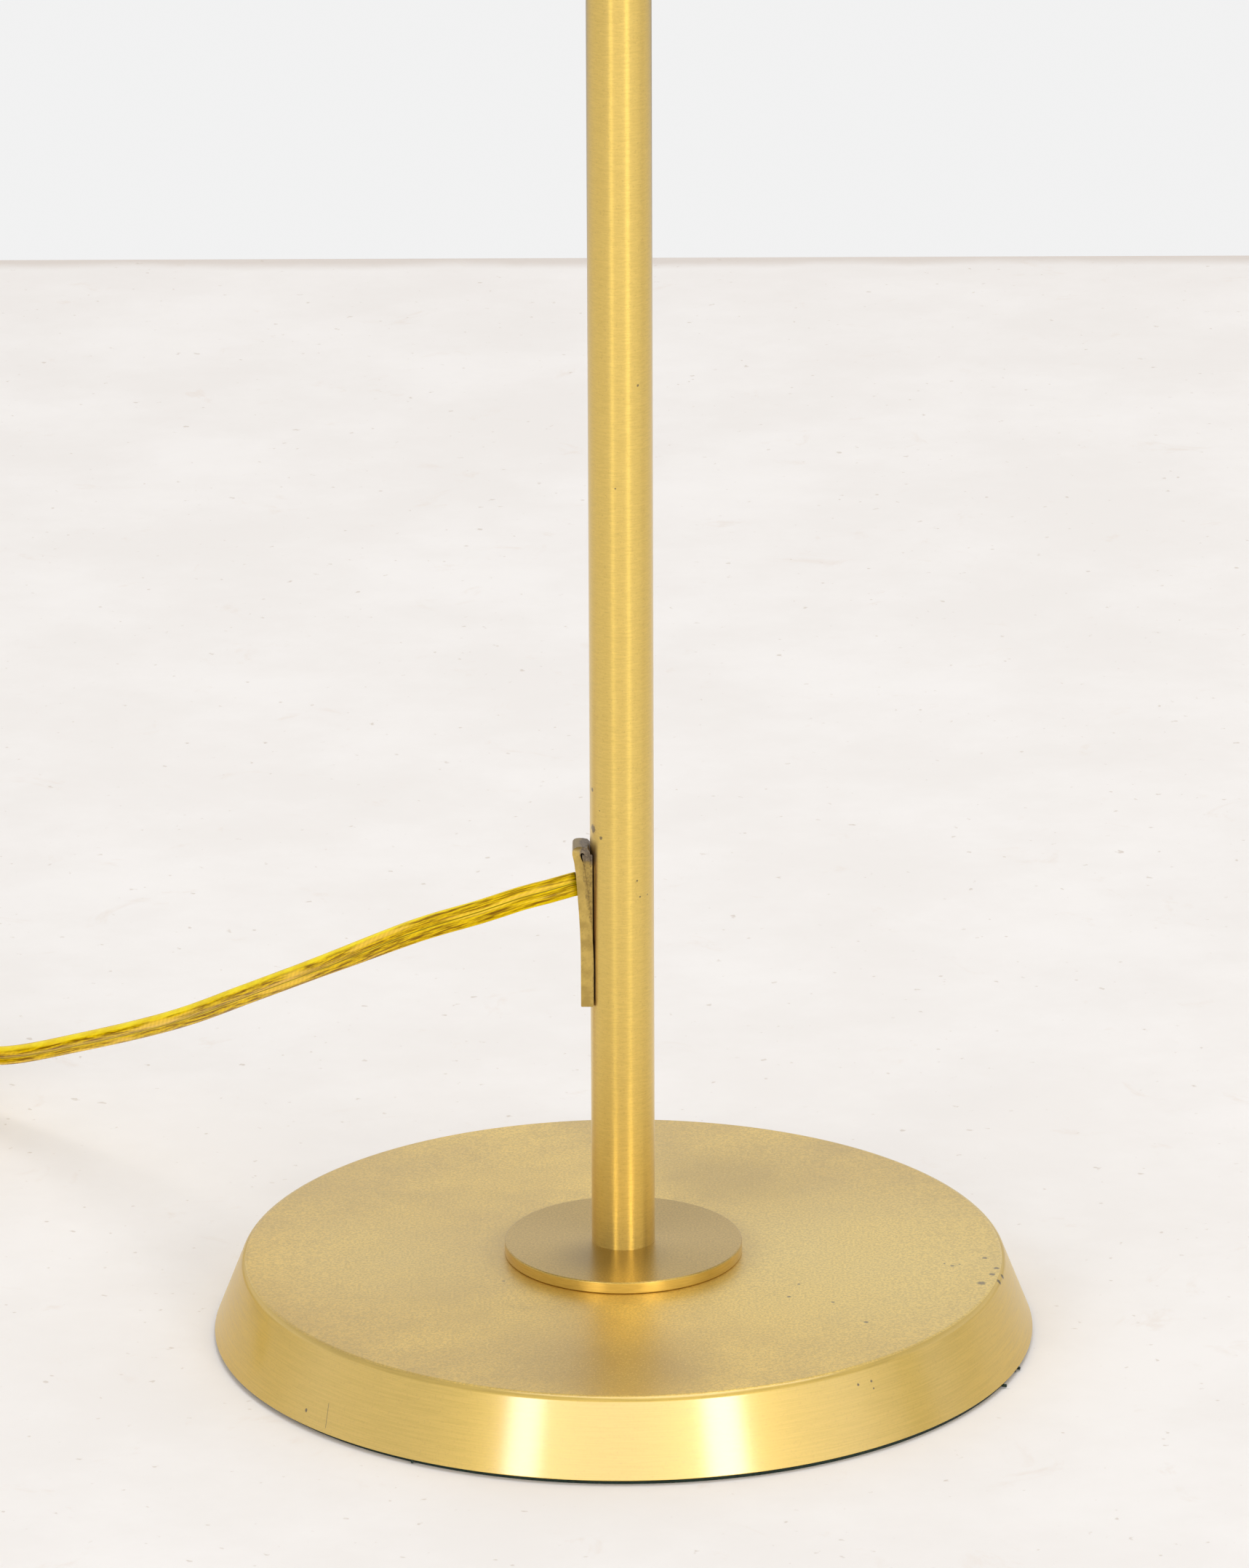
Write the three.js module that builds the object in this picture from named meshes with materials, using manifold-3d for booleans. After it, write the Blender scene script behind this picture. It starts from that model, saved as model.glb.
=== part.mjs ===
// Arc floor lamp in satin brass, about 1.6 m tall, as an assembly of separate pieces.
// Millimetres, +Z up. The origin is on the floor, under the middle of the pole.
// The arm reaches towards +X, and the cord leaves the pole towards -X.
import * as THREE from 'three';
import { mergeVertices } from 'three/addons/utils/BufferGeometryUtils.js';
import Module from 'manifold-3d';

const wasm = await Module();
wasm.setup();

// ---------------------------------------------------------------- driving dimensions

const CLEARANCE = 0.3;          // between pieces that seat on or in each other
const RUNNING_FIT = 0.15;       // radial, where one piece turns in another
const LARGE_SIDES = 64;         // sides of the widest turned pieces
const ROUND_SIDES = 32;         // sides of middling turned pieces
const SMALL_SIDES = 20;         // sides of small turned pieces
const TINY_SIDES = 12;          // sides of screws and holes

// base
const FELT_THICKNESS = 1.5;
const FELT_INSET = 2;           // the felt's edge, inside the cover's
const COVER_FOOT_RADIUS = 123.6;
const COVER_RIM_RADIUS = 114.7;
const COVER_HEIGHT = 23.4;      // above the felt, at the middle
const COVER_FALL = 0.7;         // the top's fall from the disc to the rim
const COVER_EDGE = 2.2;         // rounding of the rim
const COVER_WALL = 1;
const DISC_RADIUS = 35.8;
const DISC_THICKNESS = 3.7;
const DISC_EDGE = 0.6;

// threaded stud and what it clamps
const STUD_RADIUS = 5.05;
const STUD_BORE = 3.3;          // radius
const STUD_PROUD = 1.5;         // past its nut
const STUD_REACH = 24;          // into the pole's foot
const WASHER_RADIUS = 16;
const WASHER_THICKNESS = 2;
const LOCK_WASHER_RADIUS = 9.5;
const LOCK_WASHER_THICKNESS = 1;
const LOCK_WASHER_TEETH = 10;
const TOOTH_DEPTH = 1.6;
const NUT_FLATS = 15;           // across flats
const NUT_HEIGHT = 5;
const RECESS_MARGIN = 5;        // round the washer, in the weight
const RECESS_SPARE = 2;         // under the stud's end

// pole
const POLE_RADIUS = 9.525;
const POLE_WALL = 1.2;
const POLE_LENGTH = 1151.4;
const FOOT_BUSH_LENGTH = 30;
const WIRE_RADIUS = 2.3;        // the two insulated wires together
const WIRE_SIDES = 6;

// cord plate, a folded strip beside the pole, and the sleeve through it
const PLATE_FOOT_HEIGHT = 104.9; // its lower end above the floor
const PLATE_LENGTH = 51;
const PLATE_WIDTH = 10;
const PLATE_FOOT_LIFT = 2.83;   // outer face off the pole's surface, at the foot
const PLATE_TOP_LIFT = 5.4;     // the same at the fold
const PLATE_FOOT_THICKNESS = 3.8;
const PLATE_FOLD_THICKNESS = 2.3;
const PLATE_SHOULDER = 2.2;     // rounding of the fold's two top corners
const CORD_EXIT_HEIGHT = 142.2;
const SLEEVE_WIDTH = 5.4;
const SLEEVE_HEIGHT = 8.6;
const SLEEVE_WALL = 0.5;
const SLEEVE_LIFT = 3.4;        // its outer end off the pole's surface
const SLEEVE_INSIDE = 1;        // its inner end past the pole's bore

// swivel at the pole's top
const TOP_BUSH_LENGTH = 30;
const FLANGE_HEIGHT = 4;
const FLANGE_EDGE = 0.6;
const SPINDLE_RADIUS = 5.05;
const SPINDLE_BORE = 3.3;       // radius
const SLIP_WASHER_THICKNESS = 1;
const SLIP_WASHER_INSET = 0.8;
const WAVE_WASHER_RADIUS = 7.4;
const WAVE_WASHER_THICKNESS = 0.5;
const WAVE_HEIGHT = 0.5;
const WAVE_COUNT = 3;
const SWIVEL_NUT_FLATS = 13;
const WIRE_SPLIT = 18;          // the wire's joint below the pole's top
const WIRE_STOP = 1.5;          // the arm's wire ends this far above the barrel

// arm
const ARM_RADIUS = 6.35;
const ARM_WALL = 1;
const ARC_RADIUS = 250;
const ARC_START_HEIGHT = 1350;  // where the straight part ends
const ARC_END_ANGLE = Math.PI / 6; // of the arc's end, above the level of its centre
const COLLAR_DRUM = 14;         // height of the collar's full-width part
const COLLAR_CONE = 8;          // height over which it narrows to the arm's socket
const COLLAR_LENGTH = 40;
const COLLAR_WALL = 2.2;        // round the arm
const COLLAR_SOCKET = 17;       // depth of the arm's seat
const COLLAR_WEB = 3;           // between the arm and the spindle
const WIRE_HOLE = 4;            // radius

// knuckle
const EAR_RADIUS = 7.5;
const EAR_THICKNESS = 2.6;
const SHOULDER_DISTANCE = 11;   // the fork's shoulder from the pivot
const SHOULDER_OVERHANG = 0.4;  // past the ears' corners
const SHOULDER_HEIGHT = 4;
const FORK_WEB = 3;
const FORK_SOCKET = 13;         // depth of the arm's seat
const FERRULE_WALL = 2;
const ARM_END_SPARE = 6;        // straight tube above the fork, before the arc
const BARREL_HALF_WIDTH = 6;
const BARREL_WALL = 2.1;
const BARREL_WINDOW = 3.2;      // half width of the wire's window
const WINDOW_FROM = -95;        // degrees from straight up, towards +X
const WINDOW_TO = 55;
const FRICTION_WASHER_RADIUS = 5.6;
const FRICTION_WASHER_THICKNESS = 0.8;
const PIVOT_FIT = 0.2;          // along the pivot, beside each washer
const SCREW_RADIUS = 1.6;
const SCREW_HEAD_RADIUS = 3.4;
const SCREW_HEAD_HEIGHT = 2;
const SCREW_SLOT = 0.9;
const THREAD_OVERLAP = 0.5;     // of a screw's shank into its head
const NECK_RADIUS = 5.6;
const STEM_FLANGE_RADIUS = 9.5;
const STEM_FLANGE_DEPTH = 12;   // of its upper face below the pivot
const STEM_FLANGE_HEIGHT = 2;
const STEM_LENGTH = 14;         // threaded, below the flange

// cup and lamp holder
const CUP_RADIUS = 21;
const CUP_WALL = 1.2;
const CUP_LENGTH = 56;
const CUP_EDGE = 5;
const CUP_NUT_HEIGHT = 4;
const HOLDER_RADIUS = 16.5;
const HOLDER_WALL = 2;
const HOLDER_TOP = 8;           // below the cup's top
const HOLDER_BRIDGE = 13;       // thickness of its closed end
const HOLDER_PROUD = 8;         // below the shade's seat
const SCREW_SHELL_WALL = 0.5;
const SCREW_SHELL_LENGTH = 27;
const CONTACT_DROP = 7;
const CONTACT_WIDTH = 6;
const CONTACT_THICKNESS = 0.8;
const CONTACT_REACH = 5;

// shade
const SHADE_RADIUS = 110;
const SHADE_DEPTH = 88;
const SHADE_WALL = 0.9;
const SHADE_SEAT_RADIUS = 24;
const RIM_BEAD = 1.7;           // radius of the rolled rim
const VENT_COUNT = 10;
const VENT_RADIUS = 2.2;
const VENT_CIRCLE = 36;         // radius of the ring of vents
const RING_RADIUS = 21.5;
const RING_HEIGHT = 4;

// bulb
const BULB_CAP_RADIUS = 13;
const BULB_CAP_LENGTH = 25;
const BULB_RADIUS = 30;
const BULB_LENGTH = 108;
const BULB_TIP_RADIUS = 5;
const BULB_TIP_HEIGHT = 2.2;
const BULB_WALL = 0.6;
const BULB_NECK_RADIUS = 11.8;
const BULB_NECK_FLARE = 0.6;    // the neck's widening down to the holder's mouth
const BULB_SEAT = 6;            // of the neck inside the cap
const BULB_SHOULDER = { radius: 20.9, rise: 22 }; // between the round end and the neck
const CAP_WALL = 0.5;
const CAP_CONE = 4;             // height of its tapered end

// switch
const SWITCH_SHAFT_RADIUS = 1.6;
const KNOB_RADIUS = 6;
const KNOB_LENGTH = 11;
const KNOB_FLUTES = 12;
const KNOB_FLUTE_DEPTH = 0.7;
const KNOB_BEVEL = 0.8;
const KNOB_GAP = 0.8;           // between knob and cup
const KNOB_BORE_DEPTH = 7;

// cord, coil and plug
const CORD_DIAMETER = 7.2;      // a flat cord's width
const CORD_SIDES = 8;
const COIL_CENTRE = [-265, 170];
const COIL_RADIUS = 40;         // to the middle of the bundle
const COIL_TURNS_ACROSS = 3;
const TURN_PITCH = 7.4;
const TIE_THICKNESS = 0.8;
const TIE_WIDTH = 8;
const TIE_SLACK = 0.5;
const PLUG_PLACE = [-299, 74];  // the middle of the face that the blades stand on
const PLUG_HALF_WIDTH = 12.5;
const PLUG_TAIL_HALF_WIDTH = 6;
const PLUG_LENGTH = 33;
const PLUG_THICKNESS = 14;
const PLUG_BEVEL = 2;
const PLUG_GRIP = 14.85;        // length of its straight part, behind the blades
const BLADE_SPACING = 12.7;
const BLADE_THICKNESS = 1.5;
const BLADE_LENGTH = 17;
const BLADE_SEAT = 3;           // of it inside the plug
const BLADE_WIDTHS = { narrow: 6.35, wide: 7.9 };
const BLADE_HOLE = 1.5;         // radius
const BLADE_HOLE_PLACE = 4;     // from the tip

// The cord's route from the plate to the coil, and from the coil to the plug.
const CORD_RUN = [
  [-15, 0, 141.9], [-22, 0.6, 140.3], [-29.8, 2, 138.1], [-42.4, 7, 132.6], [-61.5, 20, 122.4],
  [-87.5, 46, 103.3], [-114.4, 79, 81.6], [-139.3, 112, 60.7], [-170.3, 150, 39], [-198.9, 180, 22.2],
  [-217, 196, 19.5], [-233, 207.2, 19.6], [-248.5, 214.3, 19.9], [-262, 217.2, 20],
];
const CORD_TAIL = [
  [-309.5, 153.8, 3.9], [-304, 139, 3.9], [-300.6, 128, 4.7], [-299.2, 117, 6.4], [-299, 108.2, 7],
];

// ---------------------------------------------------------------- shapes and solids

// A closed outline. A corner is [x, y] or [x, y, reach]: its rounding starts that far from it.
function outline(corners, steps = 3) {
  const points = [];
  corners.forEach(([x, y, reach = 0], i) => {
    const corner = new THREE.Vector2(x, y);
    if (reach === 0) {
      points.push(corner);
      return;
    }
    const [before, after] = [corners.at(i - 1), corners[(i + 1) % corners.length]]
      .map(([nextX, nextY]) => new THREE.Vector2(nextX, nextY).sub(corner).setLength(reach).add(corner));
    points.push(...new THREE.QuadraticBezierCurve(before, corner, after).getPoints(steps));
  });
  return points;
}

// A solid of revolution about Z. The profile is [radius, z] corners, anticlockwise.
function turned(corners, sides = ROUND_SIDES, steps = 3) {
  const points = outline(corners, steps);
  const onAxis = points[0].x === 0 && points.at(-1).x === 0;
  if (!onAxis) points.push(points[0].clone());
  return new THREE.LatheGeometry(points, sides).rotateX(Math.PI / 2);
}

// A tube or ring about Z, between two radii and two heights.
function ring(inner, outer, low, high, sides = ROUND_SIDES) {
  return turned([[inner, low], [outer, low], [outer, high], [inner, high]], sides);
}

// A solid round bar about Z.
function bar(radius, low, high, sides = SMALL_SIDES) {
  return new THREE.CylinderGeometry(radius, radius, high - low, sides)
    .rotateX(Math.PI / 2)
    .translate(0, 0, (low + high) / 2);
}

// The same bar lying along Y.
function crossBar(radius, from, to, sides = TINY_SIDES) {
  return new THREE.CylinderGeometry(radius, radius, to - from, sides).translate(0, (from + to) / 2, 0);
}

function block(width, depth, height, x = 0, y = 0, z = 0) {
  return new THREE.BoxGeometry(width, depth, height).translate(x, y, z);
}

function shapeOf(points, hole) {
  const shape = new THREE.Shape(points);
  if (hole) shape.holes.push(new THREE.Path(hole));
  return shape;
}

// A regular polygon, which stands for a circle when it has many sides.
function circle(radius, sides = SMALL_SIDES) {
  return Array.from({ length: sides }, (_, i) => {
    const angle = (i * 2 * Math.PI) / sides;
    return new THREE.Vector2(radius * Math.cos(angle), radius * Math.sin(angle));
  });
}

// A star of shallow teeth between two radii.
function toothed(inner, outer, teeth) {
  return Array.from({ length: teeth * 4 }, (_, i) => {
    const radius = i % 4 < 2 ? outer : inner;
    const angle = (i * 2 * Math.PI) / (teeth * 4);
    return new THREE.Vector2(radius * Math.cos(angle), radius * Math.sin(angle));
  });
}

// An upright oval with round ends.
function oval(width, height) {
  const radius = width / 2;
  const straight = height / 2 - radius;
  const path = new THREE.Path()
    .absarc(0, straight, radius, 0, Math.PI)
    .absarc(0, -straight, radius, Math.PI, 2 * Math.PI);
  return path.getPoints(TINY_SIDES / 4);
}

function extruded(shape, depth, bevel = 0) {
  return new THREE.ExtrudeGeometry(shape, {
    depth: depth - 2 * bevel,
    bevelEnabled: bevel > 0,
    bevelThickness: bevel,
    bevelSize: bevel,
    bevelOffset: -bevel,
    bevelSegments: 1,
  }).translate(0, 0, bevel);
}

// A shape drawn in Y and Z, extruded along X between two places.
function alongX(shape, from, to) {
  const turn = new THREE.Matrix4().makeBasis(
    new THREE.Vector3(0, 1, 0), new THREE.Vector3(0, 0, 1), new THREE.Vector3(1, 0, 0));
  return extruded(shape, to - from).applyMatrix4(turn).translate(from, 0, 0);
}

// A shape drawn in X and Z, extruded along Y, centred on Y = 0.
function acrossY(shape, width, bevel = 0) {
  return extruded(shape, width, bevel).rotateX(Math.PI / 2).translate(0, width / 2, 0);
}

function swept(shape, path, steps) {
  return new THREE.ExtrudeGeometry(shape, { steps, extrudePath: path });
}

function toSolid(geometry) {
  const bare = geometry.clone();
  bare.deleteAttribute('normal');
  bare.deleteAttribute('uv');
  const merged = mergeVertices(bare, 1e-4);
  const corners = merged.index.array;
  const triangles = [];
  for (let i = 0; i < corners.length; i += 3) {
    const [a, b, c] = corners.slice(i, i + 3);
    if (a !== b && b !== c && c !== a) triangles.push(a, b, c);
  }
  return new wasm.Manifold(new wasm.Mesh({
    numProp: 3,
    vertProperties: new Float32Array(merged.attributes.position.array),
    triVerts: new Uint32Array(triangles),
  }));
}

function toGeometry(solid) {
  const mesh = solid.getMesh();
  const geometry = new THREE.BufferGeometry();
  geometry.setAttribute('position', new THREE.BufferAttribute(mesh.vertProperties, 3));
  geometry.setIndex(new THREE.BufferAttribute(mesh.triVerts, 1));
  return geometry;
}

function cut(body, ...tools) {
  return toGeometry(tools.reduce((solid, tool) => solid.subtract(toSolid(tool)), toSolid(body)));
}

function join(...pieces) {
  return toGeometry(pieces.map(toSolid).reduce((whole, piece) => whole.add(piece)));
}

function common(a, b) {
  return toGeometry(toSolid(a).intersect(toSolid(b)));
}

function hexagonNut(flats, bore, low, height) {
  const hexagon = circle(flats / Math.sqrt(3), 6);
  return extruded(shapeOf(hexagon, circle(bore)), height).translate(0, 0, low);
}

// ---------------------------------------------------------------- finishes

const FINISHES = {
  satin_brass: [0xc9a552, 0.32, 1],
  dull_brass: [0xa88f55, 0.42, 1],
  plain_brass: [0xb8923f, 0.4, 1],
  cast_iron: [0x3c3d3f, 0.8, 0.6],
  steel: [0xa9acb0, 0.35, 1],
  green_felt: [0x2c4634, 0.95, 0],
  black_plastic: [0x18181a, 0.45, 0],
  brown_phenolic: [0x2b1a12, 0.4, 0],
  natural_nylon: [0xd9d3c3, 0.5, 0],
  fibre: [0x6e2f22, 0.8, 0],
  gold_cord: [0xd0a21c, 0.25, 0],
  opal_glass: [0xf3f0e6, 0.25, 0],
};

function finish(name) {
  const [color, roughness, metalness] = FINISHES[name];
  return new THREE.MeshStandardMaterial({ color, roughness, metalness });
}

function add(group, name, geometry, finishName) {
  const mesh = new THREE.Mesh(geometry, finish(finishName));
  mesh.name = name;
  group.add(mesh);
}

// ---------------------------------------------------------------- heights that several pieces share

const coverTop = FELT_THICKNESS + COVER_HEIGHT;
const discTop = coverTop + DISC_THICKNESS;
const poleBore = POLE_RADIUS - POLE_WALL;
const poleTop = discTop + POLE_LENGTH;
const slipTop = poleTop + FLANGE_HEIGHT + SLIP_WASHER_THICKNESS;
const armStart = slipTop + COLLAR_LENGTH - COLLAR_SOCKET;
const wireSplit = poleTop - WIRE_SPLIT;
const armTail = FORK_SOCKET + ARM_END_SPARE;

// ---------------------------------------------------------------- base

// Radius of the cover's tapered side at a height.
function coverSide(height) {
  const share = (height - FELT_THICKNESS) / (COVER_HEIGHT - COVER_FALL);
  return THREE.MathUtils.lerp(COVER_FOOT_RADIUS, COVER_RIM_RADIUS, share);
}

function buildBase(stand) {
  const rimTop = coverTop - COVER_FALL;
  const slant = Math.atan2(COVER_FOOT_RADIUS - COVER_RIM_RADIUS, rimTop - FELT_THICKNESS);
  const wallAcross = COVER_WALL / Math.cos(slant);
  const hole = STUD_RADIUS + CLEARANCE;
  const underRim = rimTop - COVER_WALL;
  const underTop = coverTop - COVER_WALL;

  add(stand, 'base_felt', turned([
    [0, 0], [COVER_FOOT_RADIUS - FELT_INSET, 0], [COVER_FOOT_RADIUS - FELT_INSET, FELT_THICKNESS],
    [0, FELT_THICKNESS],
  ], LARGE_SIDES), 'green_felt');

  add(stand, 'base_cover', turned([
    [COVER_FOOT_RADIUS - wallAcross, FELT_THICKNESS],
    [COVER_FOOT_RADIUS, FELT_THICKNESS],
    [COVER_RIM_RADIUS, rimTop, COVER_EDGE],
    [DISC_RADIUS, coverTop],
    [hole, coverTop],
    [hole, underTop],
    [DISC_RADIUS, underTop],
    [coverSide(underRim) - wallAcross, underRim],
  ], LARGE_SIDES), 'satin_brass');

  const stack = WASHER_THICKNESS + LOCK_WASHER_THICKNESS + NUT_HEIGHT;
  const ceiling = FELT_THICKNESS + RECESS_SPARE + STUD_PROUD + stack;
  const recess = WASHER_RADIUS + RECESS_MARGIN;
  const inside = (height) => coverSide(height) - wallAcross - CLEARANCE;
  add(stand, 'base_weight', turned([
    [recess, FELT_THICKNESS],
    [inside(FELT_THICKNESS), FELT_THICKNESS],
    [inside(underRim - CLEARANCE), underRim - CLEARANCE, COVER_EDGE],
    [DISC_RADIUS, underTop - CLEARANCE],
    [hole, underTop - CLEARANCE],
    [hole, ceiling],
    [recess, ceiling],
  ]), 'cast_iron');

  add(stand, 'base_escutcheon', turned([
    [hole, coverTop], [DISC_RADIUS, coverTop], [DISC_RADIUS, discTop, DISC_EDGE], [hole, discTop],
  ], ROUND_SIDES, 2), 'satin_brass');

  const washerBottom = ceiling - WASHER_THICKNESS;
  const lockBottom = washerBottom - LOCK_WASHER_THICKNESS;
  add(stand, 'base_washer', ring(hole, WASHER_RADIUS, washerBottom, ceiling, SMALL_SIDES), 'steel');

  const teeth = toothed(hole, hole + TOOTH_DEPTH, LOCK_WASHER_TEETH);
  add(stand, 'base_lock_washer',
    extruded(shapeOf(circle(LOCK_WASHER_RADIUS), teeth), LOCK_WASHER_THICKNESS).translate(0, 0, lockBottom),
    'steel');

  const nutBottom = lockBottom - NUT_HEIGHT;
  add(stand, 'base_nut', hexagonNut(NUT_FLATS, hole, nutBottom, NUT_HEIGHT), 'steel');
  add(stand, 'base_stud',
    ring(STUD_BORE, STUD_RADIUS, nutBottom - STUD_PROUD, discTop + STUD_REACH, SMALL_SIDES), 'steel');
}

// ---------------------------------------------------------------- pole and cord plate

// An oval hole or sleeve at the cord's exit, from one distance off the pole's axis to another.
function atCordExit(width, height, from, to, hole) {
  return alongX(shapeOf(oval(width, height), hole), -to, -from).translate(0, 0, CORD_EXIT_HEIGHT);
}

function buildPole(stand) {
  const opening = atCordExit(SLEEVE_WIDTH + 2 * CLEARANCE, SLEEVE_HEIGHT + 2 * CLEARANCE,
    poleBore / 2, POLE_RADIUS + PLATE_TOP_LIFT + CLEARANCE);
  add(stand, 'pole_tube', cut(ring(poleBore, POLE_RADIUS, discTop, poleTop), opening), 'satin_brass');
  add(stand, 'pole_foot_bush',
    ring(STUD_RADIUS + CLEARANCE, poleBore - CLEARANCE, discTop, discTop + FOOT_BUSH_LENGTH, SMALL_SIDES),
    'plain_brass');

  const spindleHole = SPINDLE_RADIUS + RUNNING_FIT;
  const topBush = turned([
    [spindleHole, poleTop - TOP_BUSH_LENGTH],
    [poleBore - CLEARANCE, poleTop - TOP_BUSH_LENGTH],
    [poleBore - CLEARANCE, poleTop],
    [POLE_RADIUS, poleTop],
    [POLE_RADIUS, poleTop + FLANGE_HEIGHT, FLANGE_EDGE],
    [spindleHole, poleTop + FLANGE_HEIGHT],
  ], SMALL_SIDES, 1);
  add(stand, 'pole_top_bush', topBush, 'satin_brass');

  add(stand, 'cord_plate', cut(plateStrip(),
    bar(POLE_RADIUS + CLEARANCE, 0, poleTop, LARGE_SIDES), opening), 'dull_brass');
  const inside = oval(SLEEVE_WIDTH - 2 * SLEEVE_WALL, SLEEVE_HEIGHT - 2 * SLEEVE_WALL);
  add(stand, 'cord_sleeve',
    atCordExit(SLEEVE_WIDTH, SLEEVE_HEIGHT, poleBore - SLEEVE_INSIDE, POLE_RADIUS + SLEEVE_LIFT, inside),
    'black_plastic');

  // The wire bends up from the sleeve and runs to the swivel.
  const bendStart = -(poleBore - SLEEVE_INSIDE - CLEARANCE);
  const bendTop = CORD_EXIT_HEIGHT + 2 * poleBore;
  const bend = new THREE.QuadraticBezierCurve3(
    new THREE.Vector3(bendStart, 0, CORD_EXIT_HEIGHT),
    new THREE.Vector3(0, 0, CORD_EXIT_HEIGHT),
    new THREE.Vector3(0, 0, bendTop));
  add(stand, 'pole_wire', join(
    swept(shapeOf(circle(WIRE_RADIUS, WIRE_SIDES)), bend, 6),
    bar(WIRE_RADIUS, bendTop - WIRE_RADIUS, wireSplit - CLEARANCE, WIRE_SIDES)), 'gold_cord');
}

// The strip's side view, from its foot up the outer face, over the fold and down the short inner leg.
function plateStrip() {
  const at = (lift, share) => new THREE.Vector2(
    -(POLE_RADIUS + lift), PLATE_FOOT_HEIGHT + share * PLATE_LENGTH);
  const rise = PLATE_TOP_LIFT - PLATE_FOOT_LIFT;
  const outerFace = new THREE.SplineCurve([
    at(PLATE_FOOT_LIFT, 0.02), at(PLATE_FOOT_LIFT, 0.33), at(PLATE_FOOT_LIFT + 0.4 * rise, 0.7),
    at(PLATE_TOP_LIFT, 0.96),
  ]).getPoints(8);
  const fold = new THREE.SplineCurve([
    at(PLATE_TOP_LIFT, 0.96), at(0.86 * PLATE_TOP_LIFT, 0.993), at(0.5 * PLATE_TOP_LIFT, 1), at(0, 0.99),
  ]).getPoints(6);
  const innerLeg = [
    at(0, 0.86), at(0.13 * PLATE_TOP_LIFT, 0.87), at(0.2 * PLATE_TOP_LIFT, 0.92),
    at(0.2 * PLATE_TOP_LIFT, 0.945),
  ];
  const thinning = PLATE_FOOT_THICKNESS - PLATE_FOLD_THICKNESS;
  const innerFace = new THREE.SplineCurve([
    at(PLATE_TOP_LIFT - PLATE_FOLD_THICKNESS, 0.945),
    at(PLATE_FOOT_LIFT + 0.63 * rise - PLATE_FOLD_THICKNESS - 0.3 * thinning, 0.87),
    at(PLATE_FOOT_LIFT + 0.25 * rise - PLATE_FOOT_THICKNESS + 0.4 * thinning, 0.6),
    at(PLATE_FOOT_LIFT - PLATE_FOOT_THICKNESS, 0.3),
    at(PLATE_FOOT_LIFT - PLATE_FOOT_THICKNESS, 0.02),
  ]).getPoints(8);
  const foot = [
    at(PLATE_FOOT_LIFT - 0.9 * PLATE_FOOT_THICKNESS, 0), at(PLATE_FOOT_LIFT - 0.1 * PLATE_FOOT_THICKNESS, 0),
  ];
  const side = shapeOf([...outerFace, ...fold.slice(1), ...innerLeg, ...innerFace, ...foot]);
  const strip = acrossY(side, PLATE_WIDTH);
  const top = PLATE_FOOT_HEIGHT + PLATE_LENGTH;
  const front = shapeOf(outline([
    [-PLATE_WIDTH / 2, PLATE_FOOT_HEIGHT], [PLATE_WIDTH / 2, PLATE_FOOT_HEIGHT],
    [PLATE_WIDTH / 2, top, PLATE_SHOULDER], [-PLATE_WIDTH / 2, top, PLATE_SHOULDER],
  ]));
  return common(strip, alongX(front, -(POLE_RADIUS + 2 * PLATE_TOP_LIFT), 0));
}

// ---------------------------------------------------------------- arm

// The arm's centreline: straight up, round the arc, and straight on past its end.
class ArmLine extends THREE.Curve {
  constructor(startHeight, beyond = 0) {
    super();
    this.startHeight = startHeight;
    this.straight = ARC_START_HEIGHT - startHeight;
    this.arc = ARC_RADIUS * (Math.PI - ARC_END_ANGLE);
    this.beyond = beyond;
  }

  getPoint(t, target = new THREE.Vector3()) {
    const along = t * (this.straight + this.arc + this.beyond);
    if (along <= this.straight) return target.set(0, 0, this.startHeight + along);
    const onArc = Math.min(along - this.straight, this.arc);
    const angle = Math.PI - onArc / ARC_RADIUS;
    const past = along - this.straight - onArc;
    return target.set(
      ARC_RADIUS * (1 + Math.cos(angle)) + past * Math.sin(angle),
      0,
      ARC_START_HEIGHT + ARC_RADIUS * Math.sin(angle) - past * Math.cos(angle));
  }
}

function waveWasher(top) {
  const middle = top - WAVE_WASHER_THICKNESS / 2 - WAVE_HEIGHT;
  const washer = ring(SPINDLE_RADIUS + CLEARANCE, WAVE_WASHER_RADIUS,
    middle - WAVE_WASHER_THICKNESS / 2, middle + WAVE_WASHER_THICKNESS / 2, SMALL_SIDES);
  const places = washer.attributes.position;
  for (let i = 0; i < places.count; i += 1) {
    const angle = Math.atan2(places.getY(i), places.getX(i));
    places.setZ(i, places.getZ(i) + WAVE_HEIGHT * Math.cos(WAVE_COUNT * angle));
  }
  return washer;
}

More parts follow.
